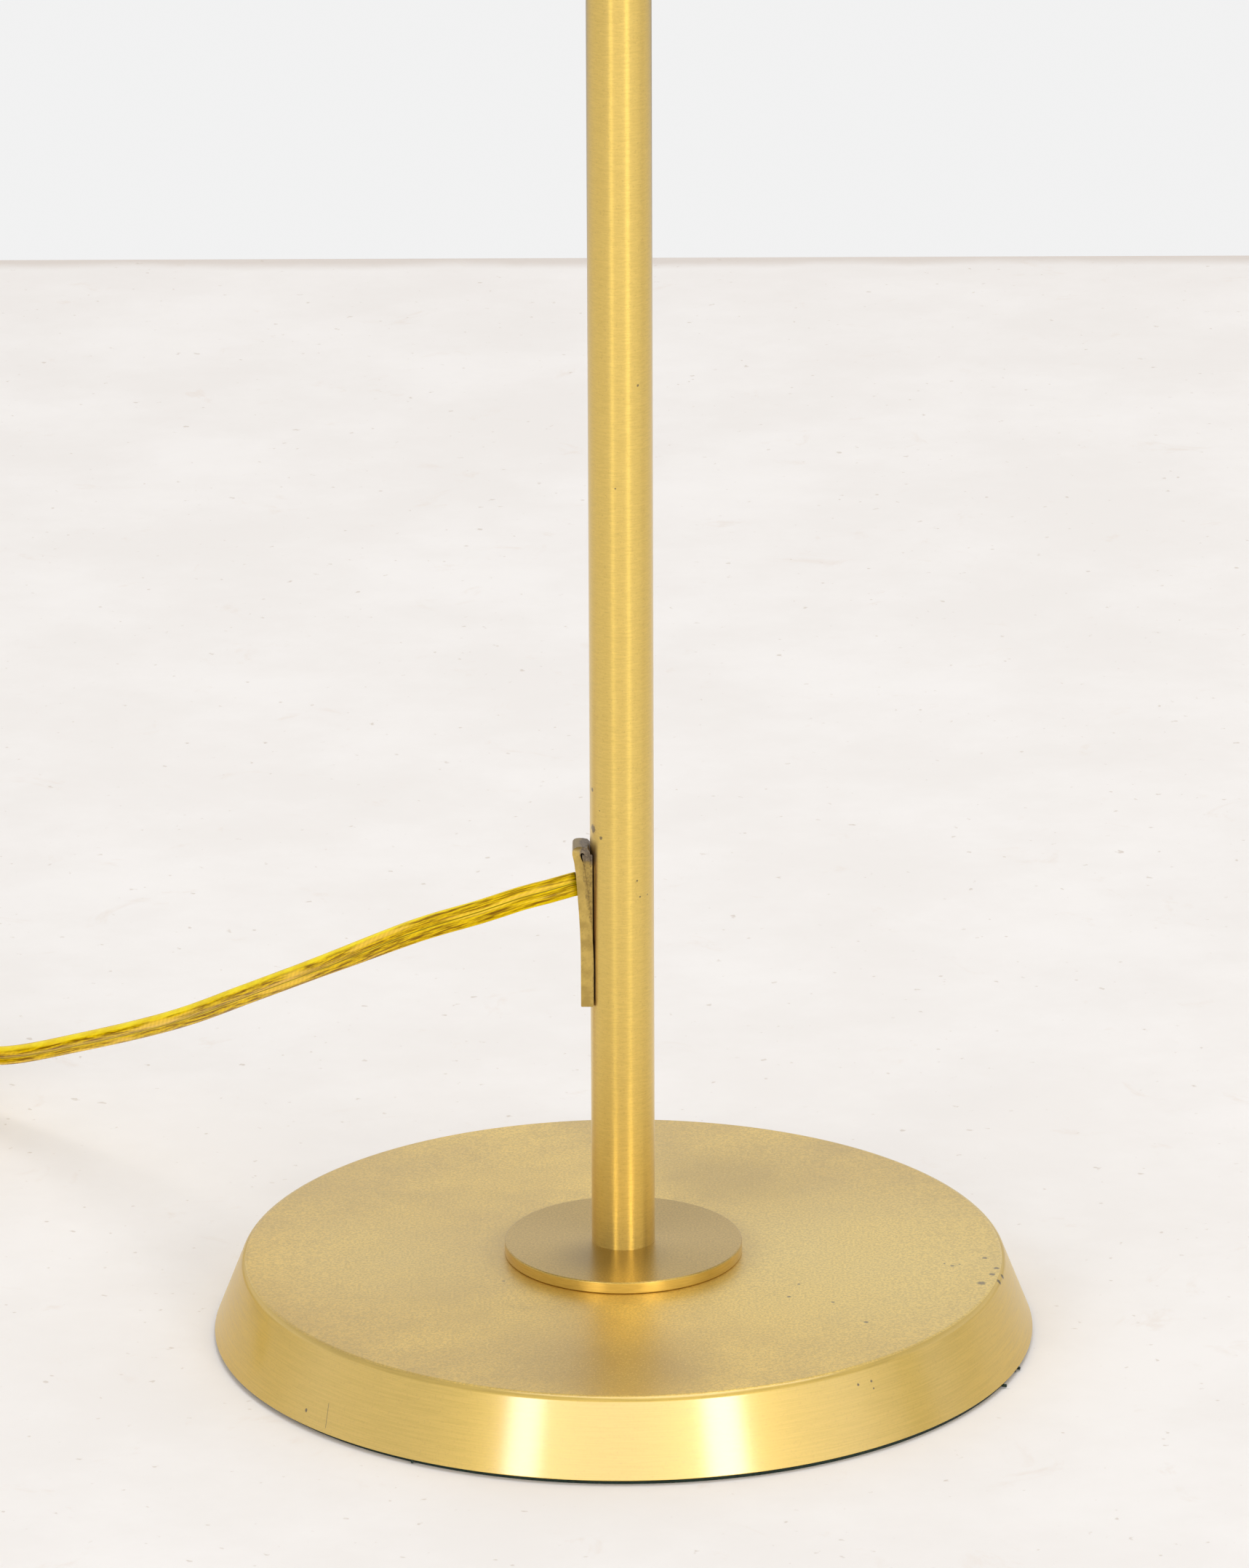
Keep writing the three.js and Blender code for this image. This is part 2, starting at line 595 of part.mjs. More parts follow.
function buildSwivel(arm) {
  const flangeTop = poleTop + FLANGE_HEIGHT;
  const bushBottom = poleTop - TOP_BUSH_LENGTH;
  const waveTop = bushBottom - CLEARANCE;
  const nutTop = waveTop - WAVE_WASHER_THICKNESS - 2 * WAVE_HEIGHT - CLEARANCE;
  const webBottom = armStart - COLLAR_WEB;
  const threadHole = SPINDLE_RADIUS + CLEARANCE;

  add(arm, 'swivel_spindle',
    ring(SPINDLE_BORE, SPINDLE_RADIUS, nutTop - NUT_HEIGHT - STUD_PROUD, webBottom - CLEARANCE, SMALL_SIDES),
    'steel');
  add(arm, 'swivel_wave_washer', waveWasher(waveTop), 'steel');
  add(arm, 'swivel_nut', hexagonNut(SWIVEL_NUT_FLATS, threadHole, nutTop - NUT_HEIGHT, NUT_HEIGHT), 'steel');
  add(arm, 'swivel_slip_washer',
    ring(threadHole, POLE_RADIUS - SLIP_WASHER_INSET, flangeTop, slipTop, SMALL_SIDES), 'natural_nylon');

  const seat = ARM_RADIUS + CLEARANCE;
  add(arm, 'arm_collar', turned([
    [threadHole, slipTop],
    [POLE_RADIUS, slipTop],
    [POLE_RADIUS, slipTop + COLLAR_DRUM, 1],
    [seat + COLLAR_WALL, slipTop + COLLAR_DRUM + COLLAR_CONE, 2],
    [seat + COLLAR_WALL, slipTop + COLLAR_LENGTH, 0.8],
    [seat, slipTop + COLLAR_LENGTH],
    [seat, armStart],
    [WIRE_HOLE, armStart],
    [WIRE_HOLE, webBottom],
    [threadHole, webBottom],
  ], SMALL_SIDES, 2), 'satin_brass');
}

const shoulderTop = SHOULDER_DISTANCE + SHOULDER_HEIGHT;
const armEndFromPivot = shoulderTop + FORK_WEB;
const earInside = BARREL_HALF_WIDTH + FRICTION_WASHER_THICKNESS + 2 * PIVOT_FIT;
const earOutside = earInside + EAR_THICKNESS;

function buildArm(arm) {
  const line = new ArmLine(armStart, armTail);
  const wall = shapeOf(circle(ARM_RADIUS, 16), circle(ARM_RADIUS - ARM_WALL, 8));
  add(arm, 'arm_tube', swept(wall, line, 36), 'satin_brass');
  const wireLine = new ArmLine(wireSplit, armTail + armEndFromPivot - EAR_RADIUS - WIRE_STOP);
  add(arm, 'arm_wire',
    swept(shapeOf(circle(WIRE_RADIUS, WIRE_SIDES)), wireLine, 32), 'gold_cord');
}

// The fork, drawn about the pivot with the arm coming from above.
function buildFork(joint) {
  const seat = ARM_RADIUS + CLEARANCE;
  const shoulder = Math.hypot(EAR_RADIUS, earOutside) + SHOULDER_OVERHANG;
  const ferrule = turned([
    [WIRE_HOLE, SHOULDER_DISTANCE],
    [shoulder, SHOULDER_DISTANCE],
    [shoulder, shoulderTop, 1.2],
    [seat + FERRULE_WALL, shoulderTop + FORK_WEB],
    [seat + FERRULE_WALL, armEndFromPivot + FORK_SOCKET, 0.6],
    [seat, armEndFromPivot + FORK_SOCKET],
    [seat, armEndFromPivot],
    [WIRE_HOLE, armEndFromPivot],
  ], SMALL_SIDES, 2);
  const earSide = new THREE.Path()
    .absarc(0, 0, EAR_RADIUS, Math.PI, 2 * Math.PI)
    .lineTo(EAR_RADIUS, SHOULDER_DISTANCE + 1)
    .lineTo(-EAR_RADIUS, SHOULDER_DISTANCE + 1)
    .getPoints(TINY_SIDES / 4);
  const ear = acrossY(shapeOf(earSide), EAR_THICKNESS);
  const middle = (earInside + earOutside) / 2;
  const screwHole = crossBar(SCREW_RADIUS + CLEARANCE, -2 * earOutside, 2 * earOutside);
  const ears = [middle, -middle].map((y) => cut(ear.clone().translate(0, y, 0), screwHole));
  add(joint, 'knuckle_fork', join(ferrule, ...ears), 'satin_brass');

  for (const [side, name] of [[-1, 'near'], [1, 'far']]) {
    const washer = ring(SCREW_RADIUS + CLEARANCE, FRICTION_WASHER_RADIUS, 0, FRICTION_WASHER_THICKNESS,
      SMALL_SIDES);
    const y = side * (BARREL_HALF_WIDTH + PIVOT_FIT + (side < 0 ? FRICTION_WASHER_THICKNESS : 0));
    add(joint, `knuckle_washer_${name}`, washer.rotateX(-Math.PI / 2).translate(0, y, 0), 'fibre');
  }
}

// ---------------------------------------------------------------- head, drawn about the pivot

const cupTop = -(STEM_FLANGE_DEPTH + STEM_FLANGE_HEIGHT);
const shadeTop = cupTop - CUP_LENGTH;
const holderTop = cupTop - HOLDER_TOP;
const holderRoof = holderTop - HOLDER_BRIDGE;
const holderBottom = shadeTop - HOLDER_PROUD;
const switchHeight = holderTop - HOLDER_BRIDGE / 2;
const contactBottom = holderRoof - CONTACT_DROP;
const stemHole = STUD_RADIUS + CLEARANCE;

function buildKnuckleBarrel(head) {
  const stemEnd = cupTop - STEM_LENGTH;
  const outside = join(
    crossBar(EAR_RADIUS, -BARREL_HALF_WIDTH, BARREL_HALF_WIDTH, SMALL_SIDES),
    bar(NECK_RADIUS, cupTop + STEM_FLANGE_HEIGHT / 2, -EAR_RADIUS / 2),
    ring(STUD_BORE, STEM_FLANGE_RADIUS, cupTop, -STEM_FLANGE_DEPTH, SMALL_SIDES),
    ring(STUD_BORE, STUD_RADIUS, stemEnd, cupTop + STEM_FLANGE_HEIGHT / 2, SMALL_SIDES));
  const hollow = crossBar(EAR_RADIUS - BARREL_WALL, BARREL_WALL - BARREL_HALF_WIDTH,
    BARREL_HALF_WIDTH - BARREL_WALL, SMALL_SIDES);
  const [from, to] = [WINDOW_FROM, WINDOW_TO].map(THREE.MathUtils.degToRad);
  const fan = [new THREE.Vector2(0, 0)];
  const fanSteps = 4;
  for (let i = 0; i <= fanSteps; i += 1) {
    const angle = from + ((to - from) * i) / fanSteps;
    fan.push(new THREE.Vector2(Math.sin(angle), Math.cos(angle)).multiplyScalar(2 * EAR_RADIUS));
  }
  const window = acrossY(shapeOf(fan), 2 * BARREL_WINDOW);
  const bore = bar(STUD_BORE, stemEnd - 1, 0);
  const screwHole = crossBar(SCREW_RADIUS + CLEARANCE, -2 * earOutside, 2 * earOutside);
  add(head, 'knuckle_barrel', cut(outside, hollow, window, bore, screwHole), 'satin_brass');

  for (const [side, name] of [[-1, 'near'], [1, 'far']]) {
    const tip = BARREL_HALF_WIDTH - BARREL_WALL + CLEARANCE;
    const seat = earOutside + PIVOT_FIT;
    const face = seat + SCREW_HEAD_HEIGHT;
    const screw = cut(
      join(crossBar(SCREW_RADIUS, tip, seat + THREAD_OVERLAP), crossBar(SCREW_HEAD_RADIUS, seat, face, SMALL_SIDES)),
      block(3 * SCREW_HEAD_RADIUS, SCREW_HEAD_HEIGHT, SCREW_SLOT, 0, face, 0));
    add(head, `knuckle_screw_${name}`, side > 0 ? screw : screw.rotateZ(Math.PI), 'plain_brass');
  }
}

function buildCup(head) {
  const wireTop = EAR_RADIUS - BARREL_WALL - WIRE_RADIUS;
  add(head, 'head_wire', bar(WIRE_RADIUS, holderRoof + 1, wireTop, WIRE_SIDES), 'gold_cord');

  const cup = turned([
    [CUP_RADIUS - CUP_WALL, shadeTop],
    [CUP_RADIUS, shadeTop],
    [CUP_RADIUS, cupTop, CUP_EDGE],
    [stemHole, cupTop],
    [stemHole, cupTop - CUP_WALL],
    [CUP_RADIUS - CUP_WALL, cupTop - CUP_WALL, CUP_EDGE - CUP_WALL],
  ], ROUND_SIDES, 2);
  const shaftHole = crossBar(SWITCH_SHAFT_RADIUS + 2 * CLEARANCE, -2 * CUP_RADIUS, 0).translate(0, 0, switchHeight);
  add(head, 'shade_cup', cut(cup, shaftHole), 'satin_brass');
  add(head, 'cup_nut',
    hexagonNut(NUT_FLATS, stemHole, cupTop - CUP_WALL - CUP_NUT_HEIGHT, CUP_NUT_HEIGHT), 'steel');
}

function buildLampHolder(head) {
  const holder = turned([
    [HOLDER_RADIUS - HOLDER_WALL, holderBottom],
    [HOLDER_RADIUS, holderBottom],
    [HOLDER_RADIUS, holderTop, 1],
    [stemHole, holderTop],
    [stemHole, holderRoof],
    [HOLDER_RADIUS - HOLDER_WALL, holderRoof],
  ], SMALL_SIDES, 1);
  const shaftHole = crossBar(SWITCH_SHAFT_RADIUS + RUNNING_FIT, -2 * HOLDER_RADIUS, 0, SMALL_SIDES)
    .translate(0, 0, switchHeight);
  add(head, 'holder_body', cut(holder, shaftHole), 'brown_phenolic');

  const shellRadius = HOLDER_RADIUS - HOLDER_WALL - CLEARANCE;
  const shellTop = holderBottom + CLEARANCE + SCREW_SHELL_LENGTH;
  add(head, 'holder_screw_shell',
    ring(shellRadius - SCREW_SHELL_WALL, shellRadius, holderBottom + CLEARANCE, shellTop, SMALL_SIDES),
    'plain_brass');

  // The centre contact hangs from the holder's roof, beside the wire, and reaches under it.
  const outer = -(stemHole + CONTACT_THICKNESS + CLEARANCE);
  const tab = shapeOf([
    [outer, holderRoof - CLEARANCE],
    [outer, contactBottom],
    [CONTACT_REACH, contactBottom],
    [CONTACT_REACH, contactBottom + CONTACT_THICKNESS],
    [outer + CONTACT_THICKNESS, contactBottom + CONTACT_THICKNESS],
    [outer + CONTACT_THICKNESS, holderRoof - CLEARANCE],
  ].map(([x, z]) => new THREE.Vector2(x, z)));
  add(head, 'holder_contact', acrossY(tab, CONTACT_WIDTH), 'plain_brass');
}

function buildSwitch(knobGroup) {
  const cupFace = -CUP_RADIUS - KNOB_GAP;
  const boreEnd = cupFace - KNOB_BORE_DEPTH;
  const shaftStart = -(stemHole + 2 * CLEARANCE);
  add(knobGroup, 'switch_shaft',
    crossBar(SWITCH_SHAFT_RADIUS, boreEnd + CLEARANCE, shaftStart, SMALL_SIDES), 'plain_brass');
  const fluted = shapeOf(toothed(KNOB_RADIUS - KNOB_FLUTE_DEPTH, KNOB_RADIUS, KNOB_FLUTES));
  const knob = extruded(fluted, KNOB_LENGTH, KNOB_BEVEL).rotateX(Math.PI / 2).translate(0, cupFace, 0);
  const bore = crossBar(SWITCH_SHAFT_RADIUS + CLEARANCE, boreEnd, 0);
  add(knobGroup, 'switch_knob', cut(knob, bore), 'brown_phenolic');
}

function buildShade(head) {
  const seatBottom = shadeTop - SHADE_WALL;
  const rim = shadeTop - SHADE_DEPTH;
  const hole = HOLDER_RADIUS + CLEARANCE;
  const depthFrom = rim + RIM_BEAD;
  const fall = (shadeTop - depthFrom) / Math.sqrt(1 - (SHADE_SEAT_RADIUS / SHADE_RADIUS) ** 2);
  const seatAngle = Math.acos(SHADE_SEAT_RADIUS / SHADE_RADIUS);
  const domeSteps = 8;
  const dome = (thickness, angle) => [
    (SHADE_RADIUS - thickness) * Math.cos(angle), depthFrom + (fall - thickness) * Math.sin(angle)];
  const outside = [];
  const within = [];
  for (let i = 0; i <= domeSteps; i += 1) {
    const angle = (seatAngle * i) / domeSteps;
    if (i > 0) outside.push(dome(0, angle));
    within.push(dome(SHADE_WALL, angle));
  }
  const bead = [];
  for (let angle = -150; angle <= 90; angle += 48) {
    const turn = THREE.MathUtils.degToRad(angle);
    bead.push([SHADE_RADIUS + RIM_BEAD * (0.5 + Math.cos(turn)), depthFrom + RIM_BEAD * Math.sin(turn)]);
  }
  const shell = turned([
    ...bead,
    ...outside,
    [hole, shadeTop],
    [hole, seatBottom],
    ...within.reverse().slice(0, -1),
  ]);
  const vents = Array.from({ length: VENT_COUNT }, (_, i) => {
    const angle = (i * 2 * Math.PI) / VENT_COUNT;
    return bar(VENT_RADIUS, rim, 0, 10).translate(VENT_CIRCLE * Math.cos(angle), VENT_CIRCLE * Math.sin(angle), 0);
  });
  add(head, 'shade', cut(shell, ...vents), 'satin_brass');
  add(head, 'shade_ring', ring(hole, RING_RADIUS, seatBottom - RING_HEIGHT, seatBottom), 'brown_phenolic');
}

function buildBulb(head) {
  const tipTop = contactBottom - CLEARANCE;
  const capTop = tipTop - BULB_TIP_HEIGHT;
  const capBottom = capTop - BULB_CAP_LENGTH;
  const end = tipTop - BULB_LENGTH;
  add(head, 'bulb_tip', turned([
    [0, capTop], [BULB_TIP_RADIUS * 1.6, capTop], [BULB_TIP_RADIUS, tipTop, 0.8], [0, tipTop],
  ], SMALL_SIDES, 1), 'black_plastic');
  add(head, 'bulb_cap', turned([
    [BULB_CAP_RADIUS - CAP_WALL, capBottom],
    [BULB_CAP_RADIUS, capBottom],
    [BULB_CAP_RADIUS, capTop - CAP_CONE, 1],
    [BULB_TIP_RADIUS * 1.7, capTop],
    [0, capTop],
    [0, capTop - 2 * CAP_WALL],
    [BULB_CAP_RADIUS - CAP_WALL, capTop - CAP_CONE - 2],
  ], SMALL_SIDES, 1), 'steel');

  // The glass is a round end that draws in to a neck, open inside the cap.
  const middle = end + BULB_RADIUS;
  const profile = (inset) => {
    const points = [];
    for (let angle = -90; angle <= 30; angle += 24) {
      const turn = THREE.MathUtils.degToRad(angle);
      points.push([(BULB_RADIUS - inset) * Math.cos(turn), middle + (BULB_RADIUS - inset) * Math.sin(turn)]);
    }
    points[0][0] = 0;
    points.push([BULB_SHOULDER.radius - inset, middle + BULB_SHOULDER.rise]);
    points.push([BULB_NECK_RADIUS + BULB_NECK_FLARE - inset, holderBottom - 1]);
    points.push([BULB_NECK_RADIUS - inset, capBottom], [BULB_NECK_RADIUS - inset, capBottom + BULB_SEAT]);
    return points;
  };
  const glass = [...profile(0), ...profile(BULB_WALL).reverse()];
  add(head, 'bulb_glass', turned(glass, SMALL_SIDES), 'opal_glass');
}

// ---------------------------------------------------------------- cord, coil and plug

const bundle = COIL_TURNS_ACROSS * TURN_PITCH;
const coilBottom = TIE_THICKNESS + TIE_SLACK + 0.2;

function coilSolid(growth = 0) {
  const half = bundle / 2 + growth;
  const round = bundle / 5;
  const middle = coilBottom + bundle / 2;
  return turned([
    [COIL_RADIUS - half, middle - half, round], [COIL_RADIUS + half, middle - half, round],
    [COIL_RADIUS + half, middle + half, round], [COIL_RADIUS - half, middle + half, round],
  ], ROUND_SIDES, 1).translate(...COIL_CENTRE, 0);
}

function cordAlong(route, steps) {
  const path = new THREE.CatmullRomCurve3(route.map((place) => new THREE.Vector3(...place)));
  return swept(shapeOf(circle(CORD_DIAMETER / 2, CORD_SIDES)), path, steps);
}

function buildCord(stand) {
  add(stand, 'cord_run', cut(cordAlong(CORD_RUN, 24), coilSolid(CLEARANCE)), 'gold_cord');
  add(stand, 'cord_coil', coilSolid(), 'gold_cord');
  add(stand, 'cord_tail', cut(cordAlong(CORD_TAIL, 6), coilSolid(CLEARANCE)), 'gold_cord');

  const inside = bundle / 2 + TIE_SLACK;
  const outside = inside + TIE_THICKNESS;
  const frame = (half) => [[-half, -half], [half, -half], [half, half], [-half, half]]
    .map(([y, z]) => new THREE.Vector2(y, z));
  const [x, y] = COIL_CENTRE;
  add(stand, 'cord_tie',
    alongX(shapeOf(frame(outside), frame(inside)), -TIE_WIDTH / 2, TIE_WIDTH / 2)
      .translate(x, y - COIL_RADIUS, coilBottom + bundle / 2), 'black_plastic');
}

function buildPlug(stand) {
  const [x, y] = PLUG_PLACE;
  const body = extruded(shapeOf(outline([
    [-PLUG_HALF_WIDTH, 0, 2], [PLUG_HALF_WIDTH, 0, 2],
    [PLUG_HALF_WIDTH, PLUG_GRIP, 4], [PLUG_TAIL_HALF_WIDTH, PLUG_LENGTH, 2],
    [-PLUG_TAIL_HALF_WIDTH, PLUG_LENGTH, 2], [-PLUG_HALF_WIDTH, PLUG_GRIP, 4],
  ], 2)), PLUG_THICKNESS, PLUG_BEVEL);
  const blades = Object.entries(BLADE_WIDTHS).map(([name, width], i) => {
    const across = (i - 0.5) * BLADE_SPACING;
    return { name, width, across };
  });
  const seats = blades.map(({ width, across }) => block(
    BLADE_THICKNESS + 2 * CLEARANCE, 2 * BLADE_SEAT, width + 2 * CLEARANCE, across, 0, PLUG_THICKNESS / 2));
  add(stand, 'plug_body', cut(body, ...seats).translate(x, y, 0), 'gold_cord');

  const from = BLADE_SEAT - CLEARANCE;
  for (const { name, width, across } of blades) {
    const side = outline([
      [from, -width / 2], [from, width / 2], [-BLADE_LENGTH, width / 2, 1.5], [-BLADE_LENGTH, -width / 2, 1.5],
    ], 2);
    const hole = circle(BLADE_HOLE, TINY_SIDES).map((point) => point.add(new THREE.Vector2(BLADE_HOLE_PLACE - BLADE_LENGTH, 0)));
    const blade = alongX(shapeOf(side, hole), -BLADE_THICKNESS / 2, BLADE_THICKNESS / 2);
    add(stand, `plug_blade_${name}`, blade.translate(x + across, y, PLUG_THICKNESS / 2), 'plain_brass');
  }
}

// ---------------------------------------------------------------- assembly

const lamp = new THREE.Group();
const arm = new THREE.Group();
const joint = new THREE.Group();
const head = new THREE.Group();
const switchGroup = new THREE.Group();

buildBase(lamp);
buildPole(lamp);
buildCord(lamp);
buildPlug(lamp);
buildSwivel(arm);
buildArm(arm);
buildFork(joint);
buildKnuckleBarrel(head);
buildCup(head);
buildLampHolder(head);
buildSwitch(switchGroup);
buildShade(head);
buildBulb(head);

// The pivot lies on the arm's line, past its end. The fork leans with the arm, and the head hangs plumb.
const pivot = new ArmLine(armStart, armTail + armEndFromPivot).getPoint(1);
joint.position.copy(pivot);
joint.rotation.y = -ARC_END_ANGLE;
head.position.copy(pivot);
switchGroup.position.z = switchHeight;
head.add(switchGroup);
arm.add(joint, head);
lamp.add(arm);

export default lamp;
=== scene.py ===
import math
from contextlib import contextmanager

import bpy
from mathutils import Matrix, Vector


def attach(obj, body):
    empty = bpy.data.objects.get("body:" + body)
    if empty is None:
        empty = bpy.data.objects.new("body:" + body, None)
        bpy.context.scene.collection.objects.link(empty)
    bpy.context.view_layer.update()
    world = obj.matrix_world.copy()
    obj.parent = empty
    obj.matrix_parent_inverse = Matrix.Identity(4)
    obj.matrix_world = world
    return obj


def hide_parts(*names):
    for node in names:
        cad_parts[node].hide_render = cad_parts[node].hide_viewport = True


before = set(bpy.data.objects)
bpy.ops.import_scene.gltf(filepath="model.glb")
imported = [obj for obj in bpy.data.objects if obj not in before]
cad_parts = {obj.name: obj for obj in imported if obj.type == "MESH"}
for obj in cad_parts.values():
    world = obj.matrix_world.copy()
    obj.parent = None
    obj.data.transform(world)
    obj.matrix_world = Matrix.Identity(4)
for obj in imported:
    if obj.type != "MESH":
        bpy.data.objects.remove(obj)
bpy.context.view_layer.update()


# Camera. A long lens in front of the lamp, 1.1 m up, that looks down on the base and the foot of
# the pole.
bpy.ops.object.camera_add(location=(0.000852, -2.721897, 1.095813))
camera = bpy.context.object
camera.rotation_euler = (math.radians(71.2795), math.radians(0.2016), math.radians(-0.0683))
camera.data.sensor_width = 36
camera.data.lens = 222.357
camera.data.clip_start, camera.data.clip_end = 0.1, 60
bpy.context.scene.camera = camera


# Cord. Flat twin lead, 7.2 by 3.7 mm: two stranded copper wires side by side in clear gold vinyl.
# It leaves the pole through the cord plate, drops to the floor, and its spare length is wound
# into a coil of nine lanes, held by a tie. One tube, swept along its route with its wide side up.
CORD_WIDE, CORD_THICK = 0.0072, 0.0037
CORD_RUN = [
    (-0.0133, 0, 0.1422), (-0.0152, 0.0001, 0.1417), (-0.022, 0.0006, 0.1395), (-0.0298, 0.002, 0.1369),
    (-0.0424, 0.007, 0.1309), (-0.0615, 0.02, 0.1205), (-0.0875, 0.046, 0.1013), (-0.1144, 0.079, 0.0794),
    (-0.1393, 0.112, 0.0586), (-0.1703, 0.15, 0.0374), (-0.1989, 0.18, 0.0216), (-0.217, 0.196, 0.0195),
    (-0.233, 0.2072, 0.0196), (-0.2485, 0.2143, 0.0199),
]
COIL_CENTRE = (-0.265, 0.170)
COIL_LANES = [  # radius and height of each lane, in the order in which the cord takes them
    (0.0474, 0.0200), (0.0400, 0.0200), (0.0326, 0.0200), (0.0326, 0.0126), (0.0326, 0.0052),
    (0.0400, 0.0052), (0.0400, 0.0126), (0.0474, 0.0126), (0.0474, 0.0050),
]
COIL_SHIFT = (208, 250)  # the degrees between which the cord moves over to its next lane
CORD_TAIL = [(-0.30735, 0.1455, 0.0042), (-0.3035, 0.1355, 0.0042), (-0.3006, 0.126, 0.0049),
             (-0.2993, 0.117, 0.0062), (-0.299, 0.1078, 0.0070)]


def smooth_line(points, step):
    """Points along the smooth curve through the given ones, about a step apart."""
    ends = [2 * Vector(points[0]) - Vector(points[1])] + [Vector(p) for p in points]
    ends.append(2 * ends[-1] - ends[-2])
    line = []
    for a, b, c, d in zip(ends, ends[1:], ends[2:], ends[3:]):
        count = max(1, round((c - b).length / step))
        for i in range(count):
            t = i / count
            line.append(0.5 * (2 * b + (c - a) * t + (2 * a - 5 * b + 4 * c - d) * t * t
                               + (3 * b - a - 3 * c + d) * t ** 3))
    return line + [ends[-2]]


def coiled(start, end):
    """The coil's turns from one angle to another, in degrees."""
    line = []
    for angle in range(start, end, 6):
        along = (angle - COIL_SHIFT[0]) / 360
        lane = math.floor(along)
        share = min(1, (along - lane) * 360 / (COIL_SHIFT[1] - COIL_SHIFT[0]))
        share = share * share * (3 - 2 * share)
        (r0, z0), (r1, z1) = (COIL_LANES[min(max(i, 0), 8)] for i in (lane, lane + 1))
        radius, height = r0 + (r1 - r0) * share, z0 + (z1 - z0) * share
        turn = math.radians(angle)
        line.append(Vector((COIL_CENTRE[0] + radius * math.cos(turn),
                            COIL_CENTRE[1] + radius * math.sin(turn), height)))
    return line


coil = coiled(99, 3072)
tail = smooth_line([coil[-1]] + CORD_TAIL, 0.003)
route = smooth_line(CORD_RUN + coiled(93, 94), 0.004) + coil + tail[1:]

# The section is a figure of eight: two round jackets joined by a thinner web.
JACKET, JACKET_OFF, WEB = CORD_THICK / 2, (CORD_WIDE - CORD_THICK) / 2, 0.0012
lobe = [(JACKET_OFF + JACKET * math.cos(a), JACKET * math.sin(a))
        for a in (math.radians(d) for d in range(-130, 131, 20))]
section = lobe + [(0, WEB)] + [(-x, -y) for x, y in lobe] + [(0, -WEB)]


def cord_twist(length):
    """The cord leaves the plate turned one way, leans the other way as it drops, and lies flat again."""
    lean = min(max((length - 0.03) / 0.09, 0), 1) * min(max((0.36 - length) / 0.10, 0), 1)
    return math.radians(30 * math.exp(-(length / 0.03) ** 2) - 46 * lean * lean * (3 - 2 * lean))


def sweep_cord(name):
    """A closed tube of the section along the route. U runs along it in metres and V across it."""
    lengths, corners, faces = [], [], []
    length = 0
    for i, place in enumerate(route):
        along = (route[min(i + 1, len(route) - 1)] - route[max(i - 1, 0)]).normalized()
        wide = (Vector((0, 0, 1)) - along * along.z).normalized()
        wide.rotate(Matrix.Rotation(cord_twist(length), 3, along))
        thin = along.cross(wide)
        corners += [place + wide * x + thin * y for x, y in section]
        lengths.append(length)
        if i + 1 < len(route):
            length += (route[i + 1] - place).length
    n = len(section)
    for i in range(len(route) - 1):
        faces += [(i * n + k, i * n + (k + 1) % n, (i + 1) * n + (k + 1) % n, (i + 1) * n + k)
                  for k in range(n)]
    faces += [tuple(reversed(range(n))), tuple(range(len(corners) - n, len(corners)))]
    mesh = bpy.data.meshes.new(name)
    mesh.from_pydata(corners, [], faces)
    layer = mesh.uv_layers.new(name="UVMap")
    for face in mesh.polygons:
        for loop, corner in zip(face.loop_indices, face.vertices):
            layer.data[loop].uv = (lengths[corner // n], section[corner % n][0] / CORD_WIDE + 0.5)
        face.use_smooth = len(face.vertices) == 4
    piece = bpy.data.objects.new(name, mesh)
    bpy.context.scene.collection.objects.link(piece)
    return piece, length


cord, cord_length = sweep_cord("lamp_cord")


def put(tree, kind, inputs=None, **settings):
    """A shader node with its settings, and its inputs given as values or linked from sockets."""
    node = tree.nodes.new("ShaderNode" + kind)
    for key, value in settings.items():
        setattr(node, key, value)
    for key, value in (inputs or {}).items():
        socket = node.inputs[key]
        if isinstance(value, bpy.types.NodeSocket):
            tree.links.new(value, socket)
        else:
            socket.default_value = (*value, 1) if socket.type == "RGBA" and len(value) == 3 else value
    return node


def tree_of(values):
    """The node tree of the first socket among some values."""
    return next(value for value in values if isinstance(value, bpy.types.NodeSocket)).id_data


def maths(operation, *values):
    return put(tree_of(values), "Math", dict(enumerate(values)), operation=operation).outputs[0]


def times(first, second):
    return maths("MULTIPLY", first, second)


def split(vector):
    """The X, Y and Z of a vector."""
    return put(vector.id_data, "SeparateXYZ", {"Vector": vector}).outputs


def fade(value, low, high, to_low=0.0, to_high=1.0):
    """A smooth step of a value from one level to another."""
    return put(value.id_data, "MapRange", {
        "Value": value, "From Min": low, "From Max": high, "To Min": to_low, "To Max": to_high,
    }, interpolation_type="SMOOTHSTEP").outputs["Result"]


def blended(share, first, second):
    """A colour between two, each a socket or red, green and blue."""
    return put(share.id_data, "Mix", {"Factor": share, "A": first, "B": second},
               data_type="RGBA").outputs["Result"]


def cloudy(vector, scale, detail=2.0, rough=0.5, distortion=0.0):
    """Noise between 0 and 1."""
    return put(vector.id_data, "TexNoise", {
        "Vector": vector, "Scale": scale, "Detail": detail, "Roughness": rough, "Distortion": distortion,
    }).outputs["Fac"]


def mapped(vector, scale=(1, 1, 1), location=(0, 0, 0), rotation=(0, 0, 0)):
    return put(vector.id_data, "Mapping", {
        "Vector": vector, "Scale": scale, "Location": location, "Rotation": rotation}).outputs["Vector"]


